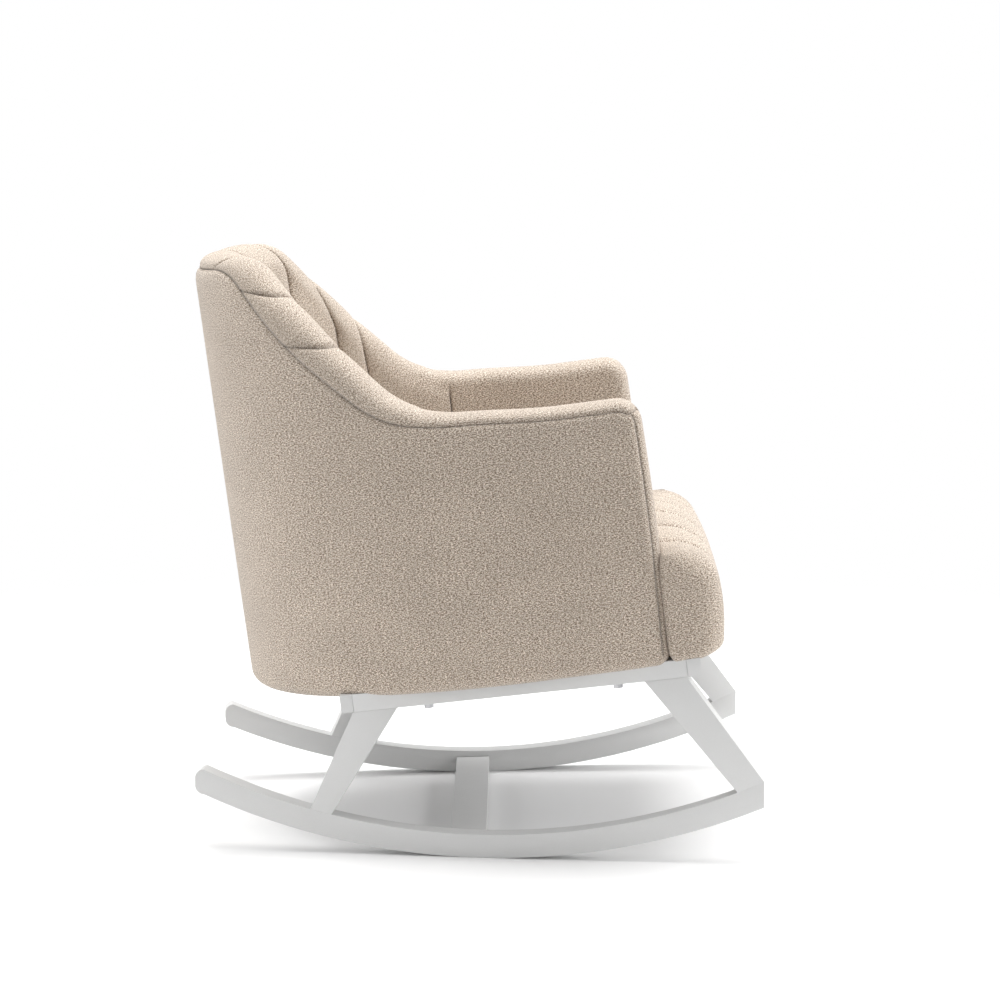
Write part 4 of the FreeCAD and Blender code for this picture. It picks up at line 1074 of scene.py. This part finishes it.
class CHAIR_OT_hidden_parts(bpy.types.Operator):
    """Give the parts inside and under the tub their finishes"""
    bl_idname = "chair.hidden_parts"
    bl_label = "Frame and hardware finishes"

    def execute(self, context):
        groups = shared_groups()
        for nodes, name, light, dark, roughness in (
                (BARE_WOOD, "bare_beech", (0.62, 0.45, 0.28), (0.50, 0.34, 0.20), 0.6),
                (PLYWOOD, "plywood", (0.64, 0.48, 0.31), (0.48, 0.34, 0.20), 0.65)):
            paint_node(nodes, wood_material(name, groups, light, dark, roughness))
        for nodes, name, first, second, roughness, more in (
                (FIBREBOARD, "fibreboard", (0.30, 0.21, 0.13), (0.22, 0.15, 0.09), 0.8, {}),
                (STEEL, "zinc_steel", (0.62, 0.62, 0.63), (0.48, 0.48, 0.50), 0.35, {"metallic": 1.0}),
                (FELT, "grey_felt", (0.20, 0.19, 0.18), (0.13, 0.12, 0.11), 0.95,
                 {"bump": 0.0006, "strength": 0.7}),
                (LINING, "black_lining", (0.02, 0.02, 0.02), (0.035, 0.035, 0.035), 0.9,
                 {"fine": 1600.0, "bump": 0.0003, "strength": 0.6})):
            paint_node(nodes, speckled_material(name, groups, first, second, roughness, **more))
        return {"FINISHED"}


class CHAIR_OT_tub(bpy.types.Operator):
    """Make the outside cover, the channelled back pad and the arm pads"""
    bl_idname = "chair.tub"
    bl_label = "Upholstered tub"

    def execute(self, context):
        tub_pieces(context.scene.chair_tub, fabric_of(context))
        return {"FINISHED"}


class CHAIR_OT_seat(bpy.types.Operator):
    """Make the channelled seat"""
    bl_idname = "chair.seat"
    bl_label = "Seat pad"

    def execute(self, context):
        seat_piece(context.scene.chair_tub, context.scene.chair_seat, fabric_of(context))
        return {"FINISHED"}


class CHAIR_OT_stage(bpy.types.Operator):
    """Make the pale floor and backdrop, the soft lights and the camera"""
    bl_idname = "chair.stage"
    bl_label = "Stage"

    def execute(self, context):
        scene = context.scene
        settings = scene.chair_stage
        backdrop()
        scene.world = studio_world(settings.ambient)
        area_light("top", (0.5, 0.1, 3.2), (0.1, 0, 0.2), 3.0, 3.0, settings.top_power)
        area_light("front", (0.3, -3.0, 1.2), (0, 0, 0.35), 1.8, 1.6, settings.front_power)
        area_light("rear", (0.2, 3.0, 1.1), (0, 0, 0.4), 1.8, 1.6, settings.rear_power)
        camera_data = bpy.data.cameras.new("camera")
        camera_data.lens = settings.lens
        camera_data.sensor_width = 36
        camera = add_object("camera", camera_data)
        camera.location = settings.camera_place
        turn, tip = settings.camera_turn, settings.camera_tip
        forward = Vector((math.cos(turn) * math.cos(tip), math.sin(turn) * math.cos(tip), -math.sin(tip)))
        camera.rotation_euler = forward.to_track_quat("-Z", "Y").to_euler()
        scene.camera = camera
        scene.view_settings.view_transform = "Standard"
        return {"FINISHED"}


def studio_world(ambient):
    """White where it is seen, softer as a light."""
    world = bpy.data.worlds.new("studio")
    world.use_nodes = True
    tree = world.node_tree
    background = tree.nodes["Background"]
    background.inputs["Color"].default_value = (1, 1, 1, 1)
    path = tree.nodes.new("ShaderNodeLightPath")
    net = Net(tree)
    net.feed(background.inputs["Strength"], net.remap(path.outputs["Is Camera Ray"], 0, 1, ambient, 1.0))
    return world


def backdrop():
    """A pale floor that fades out well away from the chair."""
    deselect()
    bpy.ops.mesh.primitive_circle_add(vertices=96, radius=2.4, fill_type="NGON", location=(0, 0, 0))
    floor = bpy.context.object
    floor.name = "floor"
    material, shader = new_material("pale_floor")
    place = material.node_tree.nodes.new("ShaderNodeTexCoord")
    net = Net(material.node_tree)
    soft = net.noise(place.outputs["Object"], 3.0, 2.0, 0.5)
    net.feed(shader.inputs["Base Color"], net.mix(soft, (0.92, 0.92, 0.92, 1), (0.94, 0.94, 0.94, 1)))
    distance = material.node_tree.nodes.new("ShaderNodeVectorMath")
    distance.operation = "LENGTH"
    net.feed(distance.inputs[0], place.outputs["Object"])
    net.feed(shader.inputs["Alpha"], net.remap(distance.outputs["Value"], 0.9, 2.2, 1.0, 0.0))
    set_plain(shader, Roughness=0.7, Specular_IOR_Level=0.1)
    floor.data.materials.append(material)


def area_light(name, place, target, width, height, power):
    data = bpy.data.lights.new(name, "AREA")
    data.shape = "RECTANGLE"
    data.size = width
    data.size_y = height
    data.energy = power
    light = add_object(name, data)
    light.location = place
    direction = Vector(target) - Vector(place)
    light.rotation_euler = direction.to_track_quat("-Z", "Y").to_euler()


class CHAIR_PT_panel(bpy.types.Panel):
    """Chair pieces and their sizes"""
    bl_idname = "CHAIR_PT_panel"
    bl_label = "Nursery rocking chair"
    bl_space_type = "VIEW_3D"
    bl_region_type = "UI"
    bl_category = "Chair"

    def draw(self, context):
        for operator in OPERATORS:
            self.layout.operator(operator.bl_idname)
        for name, kind in SETTINGS.items():
            box = self.layout.box()
            for key in kind.__annotations__:
                box.prop(getattr(context.scene, name), key)


SETTINGS = {"chair_tub": ChairTubSettings, "chair_seat": ChairSeatSettings,
            "chair_finish": ChairFinishSettings, "chair_stage": ChairStageSettings}
OPERATORS = (CHAIR_OT_stage, CHAIR_OT_timber, CHAIR_OT_hidden_parts, CHAIR_OT_tub, CHAIR_OT_seat)
CLASSES = (*SETTINGS.values(), *OPERATORS, CHAIR_PT_panel)


def register():
    for item in CLASSES:
        bpy.utils.register_class(item)
    for name, kind in SETTINGS.items():
        setattr(bpy.types.Scene, name, PointerProperty(type=kind))


def unregister():
    for name in SETTINGS:
        delattr(bpy.types.Scene, name)
    for item in reversed(CLASSES):
        bpy.utils.unregister_class(item)


def main():
    register()
    bpy.ops.chair.stage()
    bpy.ops.chair.timber()
    bpy.ops.chair.hidden_parts()
    bpy.ops.chair.tub()
    bpy.ops.chair.seat()


if __name__ == "__main__":
    main()
